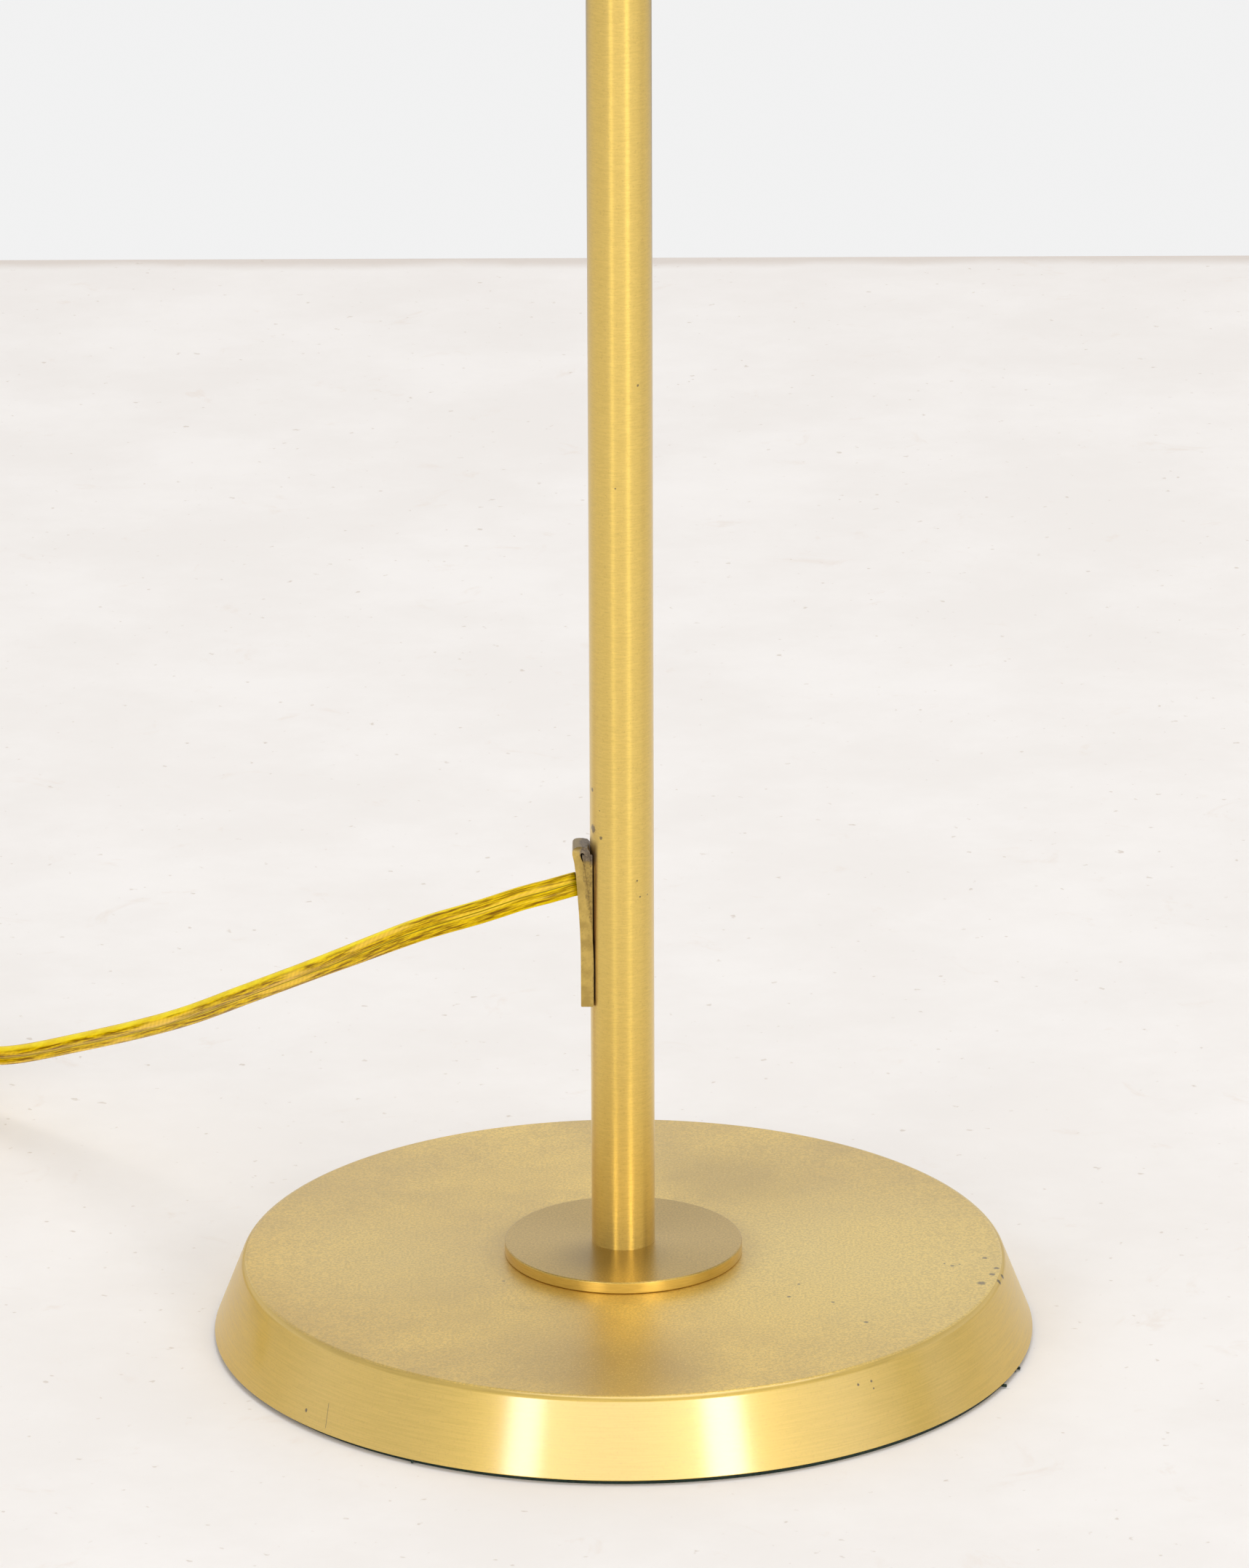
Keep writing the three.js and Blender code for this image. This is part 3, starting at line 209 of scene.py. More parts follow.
def new_finish(name, **values):
    """A material with one Principled shader that has these socket values."""
    material = bpy.data.materials.new(name)
    material.use_nodes = True
    tree = material.node_tree
    tree.nodes.clear()
    shader = put(tree, "BsdfPrincipled", {key.replace("_", " "): value for key, value in values.items()})
    put(tree, "OutputMaterial", {"Surface": shader.outputs["BSDF"]})
    return material, shader


def feed(shader, **sockets):
    """Links what changes over the surface to the shader."""
    for key, socket in sockets.items():
        shader.id_data.links.new(socket, shader.inputs[key.replace("_", " ")])


def dress(piece, material):
    piece.data.materials.clear()
    piece.data.materials.append(material)


def gold_vinyl():
    """Clear gold over two dark copper cores, with painted glints on the copper and a painted shadow along the
    web between them.
    """
    material, shader = new_finish("gold vinyl lead", Roughness=0.25, Coat_Weight=0.03, Coat_Roughness=0.08,
                                  IOR=1.3, Specular_IOR_Level=0.25)
    uv = put(shader.id_data, "UVMap", uv_map="UVMap").outputs["UV"]
    along, across, _ = split(uv)
    off = maths("ABSOLUTE", maths("SUBTRACT", across, 0.5))
    from_wire = maths("ABSOLUTE", maths("SUBTRACT", off, 0.245))
    streaks = cloudy(mapped(uv, (95.0, 13.0, 1.0)), 1.0, 3.0, 0.6)
    # Painted glints: brighter patches on the copper along the cord.
    patches = cloudy(mapped(uv, (28.0, 3.0, 1.0), (0, 0, 4.0)), 1.0, 1.0)
    strand = fade(maths("SINE", times(maths("ADD", along, times(across, 0.012)), 2600.0)), -1.0, 1.0)
    copper = blended(fade(streaks, 0.36, 0.62), (0.22, 0.105, 0.0), (0.86, 0.58, 0.002))
    copper = blended(times(fade(patches, 0.52, 0.66), 0.85), copper, (1.0, 0.66, 0.07))
    copper = blended(times(strand, 0.15), copper, (0.34, 0.17, 0.002))
    jacket = blended(fade(streaks, 0.35, 0.65), (0.86, 0.61, 0.001), (1.0, 0.80, 0.012))
    colour = blended(fade(from_wire, 0.245, 0.17), jacket, copper)
    # Painted shadow: a dark brown line along the web between the two jackets.
    groove = fade(off, 0.035, 0.012)
    feed(shader, Base_Color=blended(times(groove, 0.8), colour, (0.13, 0.06, 0.001)))
    return material


dress(cord, gold_vinyl())
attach(cord, "stand")
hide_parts("cord_run", "cord_coil", "cord_tail")


# Studio. A pale floor that ends 1.2 m behind the lamp, with a painted shadow line where it meets
# the wall, and soft light: a bright room, a broad lamp overhead and two tall strips either side of the
# camera.
bpy.context.scene.view_settings.view_transform = "Standard"


def started(shape, name, place=(0, 0, 0), scale=(1, 1, 1), **sizes):
    """A new primitive at its size and place, which alone is selected."""
    bpy.ops.object.select_all(action="DESELECT")
    add = {"plane": bpy.ops.mesh.primitive_plane_add, "cube": bpy.ops.mesh.primitive_cube_add,
           "circle": bpy.ops.mesh.primitive_circle_add, "cylinder": bpy.ops.mesh.primitive_cylinder_add}
    add[shape](location=place, **sizes)
    piece = bpy.context.object
    piece.name = piece.data.name = name
    piece.scale = scale
    bpy.ops.object.transform_apply()
    return piece


def group_tree(name, inputs, outputs):
    """A shader node group. Its sockets map a name to a kind, or to the first value of a number."""
    tree = bpy.data.node_groups.new(name, "ShaderNodeTree")
    for way, sockets in (("INPUT", inputs), ("OUTPUT", outputs)):
        for socket, kind in sockets.items():
            number = not isinstance(kind, str)
            made = tree.interface.new_socket(
                socket, in_out=way, socket_type="NodeSocket" + ("Float" if number else kind))
            if number:
                made.default_value = kind
    return tree, tree.nodes.new("NodeGroupInput").outputs, tree.nodes.new("NodeGroupOutput").inputs


# Mottling: one colour gives way to another in patches, or in grains where the scale is fine.
mottling, given, made = group_tree("mottling", {
    "Vector": "Vector", "First": "Color", "Second": "Color", "Scale": 60.0, "Detail": 2.0, "Roughness": 0.5,
    "Distortion": 0.0, "Low": 0.3, "High": 0.7, "Most": 1.0}, {"Colour": "Color", "Pattern": "Float"})
pattern = cloudy(given["Vector"], given["Scale"], given["Detail"], given["Roughness"], given["Distortion"])
share = fade(pattern, given["Low"], given["High"], 0.0, given["Most"])
mottling.links.new(blended(share, given["First"], given["Second"]), made["Colour"])
mottling.links.new(pattern, made["Pattern"])


def mottled(spot, noise, levels, first, second):
    """The mottled colour and its pattern. The noise is a scale, detail, roughness and distortion; the
    second colour comes in between the first two levels, up to the third or wholly."""
    values = dict(zip(("Scale", "Detail", "Roughness", "Distortion"), noise))
    values.update(zip(("Low", "High", "Most"), levels), Vector=spot, First=first, Second=second)
    return put(spot.id_data, "Group", values, node_tree=mottling).outputs


def spot_on(shader):
    return put(shader.id_data, "TexCoord").outputs["Object"]


def paper_floor():
    material, shader = new_finish("floor paper", Roughness=0.9, Specular_IOR_Level=0.1)
    spot = spot_on(shader)
    colour, blotches = mottled(spot, (9.0, 6.0, 0.65), (0.35, 0.7), (0.91, 0.87, 0.83), (0.955, 0.92, 0.885))
    colour, _ = mottled(spot, (34.0, 5.0, 0.7, 0.8), (0.60, 0.74, 0.5), colour, (0.86, 0.78, 0.71))
    colour, _ = mottled(spot, (230.0,), (0.69, 0.77, 0.6), colour, (0.66, 0.58, 0.50))
    # Painted shadow: a darker line along the floor's far edge, where it meets the wall.
    far = maths("ADD", split(spot)["Y"], times(blotches, 0.03))
    feed(shader, Base_Color=blended(fade(far, 1.197, 1.212, 0.0, 0.5), colour, (0.62, 0.52, 0.44)))
    return material


floor = started("plane", "floor", (0, -18.8, 0), (60, 40, 1), size=1)
dress(floor, paper_floor())

world = bpy.data.worlds.new("studio")
bpy.context.scene.world = world
world.use_nodes = True
room = world.node_tree
room.nodes.clear()
seen = put(room, "LightPath").outputs
east, north, up = split(put(room, "TexCoord").outputs["Generated"])
height = fade(up, 0.15, 0.75)
glow = blended(height, (0.89, 0.89, 0.89), (0.60, 0.60, 0.61))
around = blended(fade(north, -0.2, 0.6), (0.92, 0.92, 0.92), (1.0, 1.0, 1.0))
skirting = times(fade(up, 0.20, 0.08), fade(north, 0.0, 0.5))
around = blended(skirting, around, (0.42, 0.42, 0.42))
dark_sides = times(fade(maths("ABSOLUTE", north), 0.13, 0.05), fade(east, 0.0, 0.3))
around = blended(dark_sides, around, (0.50, 0.50, 0.50))
window = times(fade(east, 0.35, 0.60), fade(north, -0.15, -0.40))
around = blended(window, around, (1.6, 1.6, 1.6))
shine = blended(height, around, (0.50, 0.50, 0.51))
room_light = put(room, "Background", {"Color": blended(seen["Is Glossy Ray"], glow, shine)})
wall = put(room, "Background", {"Color": (0.885, 0.885, 0.885)})
put(room, "OutputWorld", {"Surface": put(room, "MixShader", {
    0: seen["Is Camera Ray"], 1: room_light.outputs[0], 2: wall.outputs[0]}).outputs[0]})

for name, place, wide, tall, power in (
        ("overhead_lamp", (0.5, 0.7, 4.2), 2.6, 2.6, 46), ("left_strip", (-1.69, -3.18, 1.35), 0.6, 1.0, 16),
        ("right_strip", (1.69, -3.18, 1.35), 0.7, 1.0, 21), ("front_lamp", (0, -4.2, 1.7), 3.2, 1.2, 22)):
    bpy.ops.object.light_add(type="AREA", location=place)
    lamp = bpy.context.object
    lamp.name = name
    lamp.rotation_euler = (-Vector(place)).to_track_quat("-Z", "Y").to_euler()
    lamp.data.shape = "RECTANGLE"
    lamp.data.size, lamp.data.size_y = wide, tall
    lamp.data.energy = power
    lamp.visible_camera = False


# Base. A spun brass cover over an iron weight, with a felt pad under it. The top is lacquered and
# dulled to a sandy khaki; the side is brushed round, with a painted highlight along the rounded edge.
COVER_FOOT, COVER_RIM, COVER_TOP, RIM_TOP, FELT = 0.1236, 0.1147, 0.0249, 0.0242, 0.0015
COVER_WALL, STUD_HOLE = 0.001, 0.00535
DISC, DISC_TOP = 0.0358, 0.0286


@contextmanager
def editing(piece, kind, chosen=None):
    """Edit mode with the vertices, edges or faces selected that are chosen, or all of them."""
    bpy.context.view_layer.objects.active = piece
    bpy.ops.object.mode_set(mode="EDIT")
    bpy.ops.mesh.select_mode(type=kind)
    bpy.ops.mesh.select_all(action="DESELECT" if chosen else "SELECT")
    if chosen:
        bpy.ops.object.mode_set(mode="OBJECT")
        parts = {"VERT": piece.data.vertices, "EDGE": piece.data.edges, "FACE": piece.data.polygons}
        for part in parts[kind]:
            part.select = chosen(part)
        bpy.ops.object.mode_set(mode="EDIT")
    yield
    bpy.ops.object.mode_set(mode="OBJECT")


def extrude(x, y, z):
    bpy.ops.mesh.extrude_region_move(TRANSFORM_OT_translate={"value": (x, y, z)})


def face_outwards(merge=False):
    bpy.ops.mesh.select_all(action="SELECT")
    if merge:
        bpy.ops.mesh.remove_doubles(threshold=0.000001)
    bpy.ops.mesh.normals_make_consistent(inside=False)


def spun(name, profile, sides=160):
    """A ring of edges extruded from one radius and height to the next about Z, and closed."""
    radius, height = profile[0]
    piece = started("circle", name, (0, 0, height), vertices=sides, radius=radius)
    with editing(piece, "EDGE"):
        for next_radius, next_height in profile[1:]:
            extrude(0, 0, next_height - height)
            share = next_radius / radius
            bpy.ops.transform.resize(value=(share, share, 1), center_override=(0, 0, 0))
            radius, height = next_radius, next_height
        bpy.ops.mesh.select_non_manifold()
        bpy.ops.mesh.bridge_edge_loops()
        face_outwards()
    return piece


def soften(piece, rings, width, segments=4):
    """Rounds the edges that lie at these radii and heights."""
    def on_a_ring(edge):
        ends = [piece.data.vertices[v].co for v in edge.vertices]
        return any(all(abs(math.hypot(*end.xy) - r) < 2e-5 and abs(end.z - h) < 2e-5 for end in ends)
                   for r, h in rings)
    with editing(piece, "EDGE", on_a_ring):
        bpy.ops.mesh.bevel(offset=width, segments=segments, affect="EDGES")


def take(piece):
    """The piece alone is selected and active."""
    bpy.ops.object.select_all(action="DESELECT")
    piece.select_set(True)
    bpy.context.view_layer.objects.active = piece


def apply(piece, kind, **settings):
    """A modifier with these settings, applied at once."""
    take(piece)
    modifier = piece.modifiers.new(kind.title(), kind)
    for key, value in settings.items():
        setattr(modifier, key, value)
    bpy.ops.object.modifier_apply(modifier=modifier.name)


def fit(piece, material, body, slot, *nodes):
    """Smooth shading that keeps flat faces true, the material, its body and the CAD nodes it stands for."""
    take(piece)
    bpy.ops.object.shade_smooth_by_angle(angle=math.radians(32))
    apply(piece, "WEIGHTED_NORMAL", keep_sharp=True, weight=100)
    dress(piece, material)
    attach(piece, body)
    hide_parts(*nodes)


def vectors(operation, *values, output=0, **named):
    inputs = dict(enumerate(values)) | named
    return put(tree_of(values), "VectorMath", inputs, operation=operation).outputs[output]


def distance(spot, place):
    return vectors("DISTANCE", spot, place, output="Value")


# The marks of turning: fine rings about Z, each a few millimetres to centimetres long.
turning, given, made = group_tree(
    "turning marks", {"Vector": "Vector", "Rings": 2500.0, "Breaks": 6.0}, {"Mark": "Float"})
east, north, up = split(given["Vector"])
flat = put(turning, "CombineXYZ", {"X": east, "Y": north}).outputs[0]
radius = vectors("LENGTH", flat, output="Value")
bearing = vectors("SCALE", vectors("NORMALIZE", flat), Scale=given["Breaks"])
rise = put(turning, "CombineXYZ", {"Z": times(up, given["Rings"])}).outputs[0]
mark = put(turning, "TexNoise", {
    "Vector": vectors("ADD", bearing, rise), "W": times(radius, given["Rings"]), "Scale": 1.0, "Detail": 2.0,
    "Roughness": 0.6}, noise_dimensions="4D")
turning.links.new(mark.outputs["Fac"], made["Mark"])

# A small pit or stain at one place, with a ragged edge.
pitting, given, made = group_tree(
    "pit", {"Vector": "Vector", "Place": "Vector", "Size": 0.0004}, {"Mask": "Float"})
ragged = maths("ADD", cloudy(given["Vector"], 1500.0), 0.5)
gap = times(distance(given["Vector"], given["Place"]), ragged)
pitting.links.new(fade(gap, given["Size"], times(given["Size"], 0.5)), made["Mask"])


def turned(spot, rings, breaks):
    """The marks of turning, with so many rings and breaks."""
    return put(spot.id_data, "Group", {"Vector": spot, "Rings": rings, "Breaks": breaks},
               node_tree=turning).outputs[0]


def pits(spot, places):
    """One mask for pits at these places and sizes."""
    mask = 0.0
    for place, size in places:
        pit = put(spot.id_data, "Group", {"Vector": spot, "Place": place, "Size": size}, node_tree=pitting)
        mask = maths("MAXIMUM", mask, pit.outputs[0])
    return mask


def scored(spot, start, end):
    """A fine scratch from one place to another."""
    way = Vector(end) - Vector(start)
    from_start = vectors("SUBTRACT", spot, start)
    along = vectors("DOT_PRODUCT", from_start, way.normalized(), output="Value")
    foot = put(spot.id_data, "VectorMath", {0: way.normalized(), "Scale": along},
               operation="SCALE").outputs[0]
    within = times(fade(along, 0.0, 0.0006), fade(along, way.length, way.length - 0.0006))
    return times(fade(distance(from_start, foot), 0.00016, 0.00006), within)


def patch(spot, place, reach):
    """A soft round patch that fades out at its reach."""
    return fade(distance(spot, place), reach, reach * 0.15)


def bumped(height, strength, distance=0.001):
    return put(height.id_data, "Bump", {
        "Height": height, "Strength": strength, "Distance": distance}).outputs["Normal"]


def radial_brushing(shader):
    """Turns the brass's sheen so that it follows the marks of turning."""
    shader.inputs["Anisotropic Rotation"].default_value = 0.25
    feed(shader, Tangent=put(shader.id_data, "Tangent", direction_type="RADIAL", axis="Z").outputs[0])


def cover_side_brass():
    """The brushed side, and a painted highlight along the rounded edge."""
    material, shader = new_finish("cover side brass", Metallic=1.0, Roughness=0.5, Anisotropic=0.45,
                                  Coat_Weight=1.0, Coat_Roughness=0.17, Coat_IOR=1.8)
    radial_brushing(shader)
    spot = spot_on(shader)
    mark = turned(spot, 2600.0, 9.0)
    gold = blended(fade(mark, 0.3, 0.7), (0.68, 0.465, 0.078), (0.775, 0.54, 0.104))
    gold, _ = mottled(spot, (1300.0, 3.0, 0.7), (0.5, 0.75, 0.3), gold, (0.50, 0.31, 0.06))
    # Painted highlight: the side is lighter towards the rounded edge.
    painted_edge_highlight = fade(split(spot)["Z"], 0.0226, 0.0236)
    gold = blended(times(painted_edge_highlight, 0.2), gold, (0.84, 0.60, 0.16))
    flaws = pits(spot, [
        ((-0.0936, -0.0783, 0.0055), 0.0007), ((0.0686, -0.0942, 0.0195), 0.0005),
        ((0.0725, -0.0913, 0.0194), 0.0005), ((0.0732, -0.0918, 0.0173), 0.0004),
        ((0.1139, -0.0180, 0.0232), 0.0012), ((0.1122, -0.0230, 0.0232), 0.0012),
    ])
    scratch = scored(spot, (-0.0867, -0.0833, 0.0101), (-0.0878, -0.0863, 0.0028))
    flaws = maths("MAXIMUM", times(flaws, 0.85), times(scratch, 0.7))
    facing = put(shader.id_data, "LayerWeight", {"Blend": 0.5}).outputs["Facing"]
    feed(shader, Base_Color=blended(flaws, gold, (0.07, 0.045, 0.02)),
         Roughness=fade(mark, 0.3, 0.7, 0.45, 0.55), Normal=bumped(mark, 0.02),
         Coat_Weight=fade(facing, 0.3, 0.65, 1.0, 0.45))
    return material


def cover_top_brass():
    """The sandy khaki of old lacquer, fine-grained and softly mottled, with a few dark pits; painted
    highlights lighten it left and right of the middle, and painted shade darkens it at the front and back.
    """
    material, shader = new_finish("cover top brass", Metallic=1.0, Roughness=0.4, Anisotropic=0.3,
                                  Coat_Weight=1.0, Coat_Roughness=0.32, Coat_IOR=1.46)
    radial_brushing(shader)
    spot = spot_on(shader)
    khaki, cloud = mottled(spot, (24.0, 5.0, 0.55), (0.30, 0.70), (0.77, 0.52, 0.11), (0.93, 0.66, 0.155))
    khaki, _ = mottled(spot, (75.0, 6.0, 0.7), (0.46, 0.74, 0.4), khaki, (0.64, 0.435, 0.095))
    # Painted highlights: soft lighter patches right and left of the middle.
    painted_highlight = maths("MAXIMUM", patch(spot, (0.075, -0.012, 0.0245), 0.085),
                 times(patch(spot, (-0.085, -0.010, 0.0245), 0.055), 0.5))
    khaki = blended(times(painted_highlight, 0.85), khaki, (1.0, 0.75, 0.21))
    # Painted shade: soft darker patches at the front and the back.
    shaded = maths("MAXIMUM", patch(spot, (0.0, -0.094, 0.0245), 0.040),
                   times(patch(spot, (0.030, 0.062, 0.0245), 0.036), 0.6))
    khaki = blended(times(shaded, 0.75), khaki, (0.46, 0.30, 0.065))
    khaki, grain = mottled(spot, (1300.0, 3.0, 0.7), (0.38, 0.62, 0.42), khaki, (0.44, 0.29, 0.07))
    khaki, _ = mottled(spot, (1900.0, 2.0, 0.7), (0.52, 0.70, 0.34), khaki, (0.98, 0.78, 0.30))
    # The top is darker in a band about a centimetre wide round the disc.
    darker_round_disc = fade(distance(spot, (0, 0, COVER_TOP)), 0.046, 0.036)
    khaki = blended(times(darker_round_disc, 0.35), khaki, (0.45, 0.29, 0.06))
    flaws = pits(spot, [
        ((-0.0359, -0.0246, 0.0248), 0.0006), ((0.0988, -0.0122, 0.0244), 0.0008),
        ((0.0965, -0.0105, 0.0244), 0.0005), ((0.1010, -0.0110, 0.0244), 0.0005),
        ((0.1088, -0.0057, 0.0243), 0.0010), ((0.1120, -0.0140, 0.0242), 0.0011),
        ((0.1105, -0.0190, 0.0242), 0.0012), ((0.1070, -0.0262, 0.0243), 0.0016),
        ((0.0623, -0.0418, 0.0246), 0.0007), ((0.0718, -0.0575, 0.0245), 0.0009),
        ((0.0524, -0.0276, 0.0247), 0.0006), ((0.0493, -0.0376, 0.0247), 0.0008),
    ])
    feed(shader, Base_Color=blended(times(flaws, 0.75), khaki, (0.13, 0.085, 0.05)),
         Roughness=fade(cloud, 0.3, 0.7, 0.40, 0.48), Normal=bumped(grain, 0.09))
    return material


cover = spun("spun_cover", [
    (STUD_HOLE, COVER_TOP), (DISC, COVER_TOP), (COVER_RIM, RIM_TOP), (COVER_FOOT, FELT),
    (COVER_FOOT - 0.0011, FELT), (COVER_RIM - 0.0006, RIM_TOP - COVER_WALL), (DISC, COVER_TOP - COVER_WALL),
    (STUD_HOLE, COVER_TOP - COVER_WALL)], 256)
soften(cover, [(COVER_RIM, RIM_TOP)], 0.0016, 8)
soften(cover, [(COVER_FOOT, FELT)], 0.0003, 2)
fit(cover, cover_side_brass(), "stand", "satin_brass", "base_cover")
cover.data.materials.append(cover_top_brass())
for face in cover.data.polygons:
    if face.normal.z > 0.86:
        face.material_index = 1

disc = spun("base_disc", [
    (STUD_HOLE, COVER_TOP), (DISC, COVER_TOP), (DISC, DISC_TOP), (STUD_HOLE, DISC_TOP)], 200)
soften(disc, [(DISC, DISC_TOP)], 0.00045, 4)
soften(disc, [(DISC, COVER_TOP)], 0.0004, 3)


def disc_brass():
    """A dull brown top, darkened in front of the pole's foot by a painted reflection of the pole, and a
    brighter edge.
    """
    material, shader = new_finish("disc brass", Metallic=1.0, Roughness=0.34, Anisotropic=0.6,
                                  Coat_Weight=0.65, Coat_Roughness=0.28, Coat_IOR=1.5)
    radial_brushing(shader)
    spot = spot_on(shader)
    mark = turned(spot, 3000.0, 8.0)
    dull, grain = mottled(spot, (1500.0, 3.0, 0.7), (0.3, 0.7), (0.44, 0.28, 0.05), (0.62, 0.41, 0.085))
    # Painted reflection: the pole's reflection darkens the top in front of its foot.
    painted_pole_reflection = patch(spot, (-0.004, -0.014, DISC_TOP), 0.023)
    dull = blended(times(painted_pole_reflection, 0.68), dull, (0.25, 0.15, 0.02))
    gold = blended(fade(mark, 0.3, 0.7), (0.68, 0.465, 0.10), (0.775, 0.54, 0.13))
    top = fade(split(spot)["Z"], 0.0280, 0.0285)
    feed(shader, Base_Color=blended(top, gold, dull), Normal=bumped(maths("ADD", mark, grain), 0.04))
    return material


fit(disc, disc_brass(), "stand", "satin_brass", "base_escutcheon")


# Pole. A three-quarter inch brass tube, drawn and then brushed round its girth, clear lacquered.
# Its foot stands on the disc, and an oval hole near the foot lets the cord out.
POLE, POLE_BORE, POLE_TOP = 0.009525, 0.008325, 1.180
EXIT_HEIGHT = 0.1422
CORD_HOLE = (0.0060, 0.0092, 0.0042, 0.016)  # width, height, and its ends' distances from the pole's axis


def combine(piece, operation, *tools):
    for tool in tools:
        apply(piece, "BOOLEAN", object=tool, operation=operation, solver="EXACT")
        bpy.data.objects.remove(tool)


def cut(piece, *tools):
    combine(piece, "DIFFERENCE", *tools)


def crisp(piece, width=0.0002, segments=2, angle=35):
    """A fine round on every edge sharper than the angle."""
    apply(piece, "BEVEL", width=width, segments=segments, limit_method="ANGLE",
          angle_limit=math.radians(angle), harden_normals=False)


def move(piece, place=(0, 0, 0), turn=0.0, axis="Y"):
    """Turns the piece about an axis through the origin, then moves it to its place."""
    take(piece)
    piece.matrix_world = Matrix.Translation(place) @ Matrix.Rotation(math.radians(turn), 4, axis)
    bpy.ops.object.transform_apply()


def rod(radius, low, high, turn=0.0, axis="Y", place=(0, 0, 0), sides=48):
    """A plain round bar to cut or weld with, along Z until it is turned."""
    piece = started("cylinder", "rod", (0, 0, (low + high) / 2), vertices=sides, radius=radius,
                    depth=high - low)
    move(piece, place, turn, axis)
    return piece


def oval_bar(name, wide, tall, near, far):
    """An upright oval bar along -X at the cord's exit, between two distances from the pole's axis."""
    bar = started("cylinder", name, (-(near + far) / 2, 0, EXIT_HEIGHT), vertices=40, radius=wide / 2,
                  depth=far - near, rotation=(0, math.radians(90), 0))
    for side in (1, -1):
        with editing(bar, "VERT", lambda corner: (corner.co.z - EXIT_HEIGHT) * side > 0.00001):
            bpy.ops.transform.translate(value=(0, 0, side * (tall - wide) / 2))
    return bar


def pole_brass():
    material, shader = new_finish("pole brass", Metallic=1.0, Roughness=0.36, Anisotropic=0.85,
                                  Coat_Weight=1.0, Coat_Roughness=0.48, Coat_IOR=1.65)
    radial_brushing(shader)
    spot = spot_on(shader)
    mark = turned(spot, 3200.0, 4.0)
    colour = blended(fade(mark, 0.25, 0.75), (0.70, 0.48, 0.086), (0.80, 0.557, 0.112))
    colour, _ = mottled(spot, (1600.0, 2.0, 0.6), (0.55, 0.75, 0.35), colour, (0.50, 0.31, 0.05))
    flaws = pits(spot, [
        ((-0.0087, -0.0038, 0.1730), 0.0008), ((-0.0085, -0.0042, 0.1609), 0.0017),
        ((-0.0062, -0.0072, 0.1590), 0.0007), ((-0.0066, -0.0069, 0.1674), 0.0003),
        ((0.0045, -0.0084, 0.1459), 0.0004), ((0.0054, -0.0079, 0.1407), 0.0004),
        ((0.0075, -0.0058, 0.1407), 0.0003), ((0.0052, -0.0080, 0.2989), 0.0005),
        ((-0.0015, -0.0094, 0.2679), 0.0003),
    ])
    feed(shader, Base_Color=blended(times(flaws, 0.8), colour, (0.10, 0.06, 0.025)),
         Roughness=fade(mark, 0.2, 0.8, 0.28, 0.36), Normal=bumped(mark, 0.04))
    return material


# The rings at two more heights keep the walls' faces short where the hole is cut.
pole = spun("pole", [(POLE_BORE, DISC_TOP), (POLE, DISC_TOP), (POLE, 0.130), (POLE, 0.155),
                     (POLE, POLE_TOP), (POLE_BORE, POLE_TOP), (POLE_BORE, 0.155), (POLE_BORE, 0.130)], 128)
cut(pole, oval_bar("hole", *CORD_HOLE))
fit(pole, pole_brass(), "stand", "satin_brass", "pole_tube")


# Cord plate. A strip of thick brass beside the pole: its foot and outer leg stand off the tube,
# it folds over at the top and a short inner leg is soldered to the tube. The cord passes through it.
PLATE_WIDE = 0.010
PLATE_SKINS = [  # the outer and inner skin, as x and height, from the foot over the fold to the inner leg
    ((-0.01222, 0.10490), (-0.00885, 0.10490)), ((-0.01236, 0.10525), (-0.00858, 0.10530)),
    ((-0.01236, 0.1120), (-0.00855, 0.1115)), ((-0.01236, 0.1200), (-0.00852, 0.1185)),
    ((-0.01242, 0.1250), (-0.00868, 0.1240)), ((-0.01258, 0.1295), (-0.00903, 0.1290)),
    ((-0.01283, 0.1340), (-0.00948, 0.1340)), ((-0.01312, 0.1385), (-0.00998, 0.1388)),
    ((-0.01342, 0.1430), (-0.01050, 0.1435)), ((-0.01376, 0.1470), (-0.01100, 0.1475)),
    ((-0.01415, 0.1503), (-0.01155, 0.1504)),
    ((-0.01452, 0.1520), (-0.01205, 0.1515)), ((-0.01475, 0.15310), (-0.01235, 0.15250)),
    ((-0.01466, 0.15395), (-0.01232, 0.15300)), ((-0.01428, 0.15462), (-0.01215, 0.15335)),
    ((-0.01362, 0.15502), (-0.01190, 0.15350)), ((-0.01260, 0.15515), (-0.01160, 0.15345)),
    ((-0.01145, 0.15510), (-0.01130, 0.15330)), ((-0.01020, 0.15470), (-0.01110, 0.15295)),
    ((-0.00950, 0.15370), (-0.01096, 0.15230)), ((-0.00950, 0.15210), (-0.01085, 0.15110)),
    ((-0.00950, 0.14900), (-0.01060, 0.14880)),
]
INNER_LEG = [  # the same for the inner leg, which runs down beside the tube
    ((-0.0085, 0.1527), (-0.01185, 0.1527)), ((-0.0085, 0.1515), (-0.01170, 0.1515)),
    ((-0.0085, 0.1500), (-0.0115, 0.1500)), ((-0.0085, 0.1470), (-0.0112, 0.1470)),
    ((-0.0082, 0.1400), (-0.0104, 0.1400)), ((-0.0080, 0.1300), (-0.0093, 0.1300)),
    ((-0.0079, 0.1200), (-0.0088, 0.1200)), ((-0.0079, 0.1062), (-0.0087, 0.1062)),
]


def middle_of(skins):
    """The middle of the strip between its two skins, and the way across it."""
    (x0, z0), (x1, z1) = skins
    return Vector(((x0 + x1) / 2, 0, (z0 + z1) / 2)), Vector((x1 - x0, 0, z1 - z0))


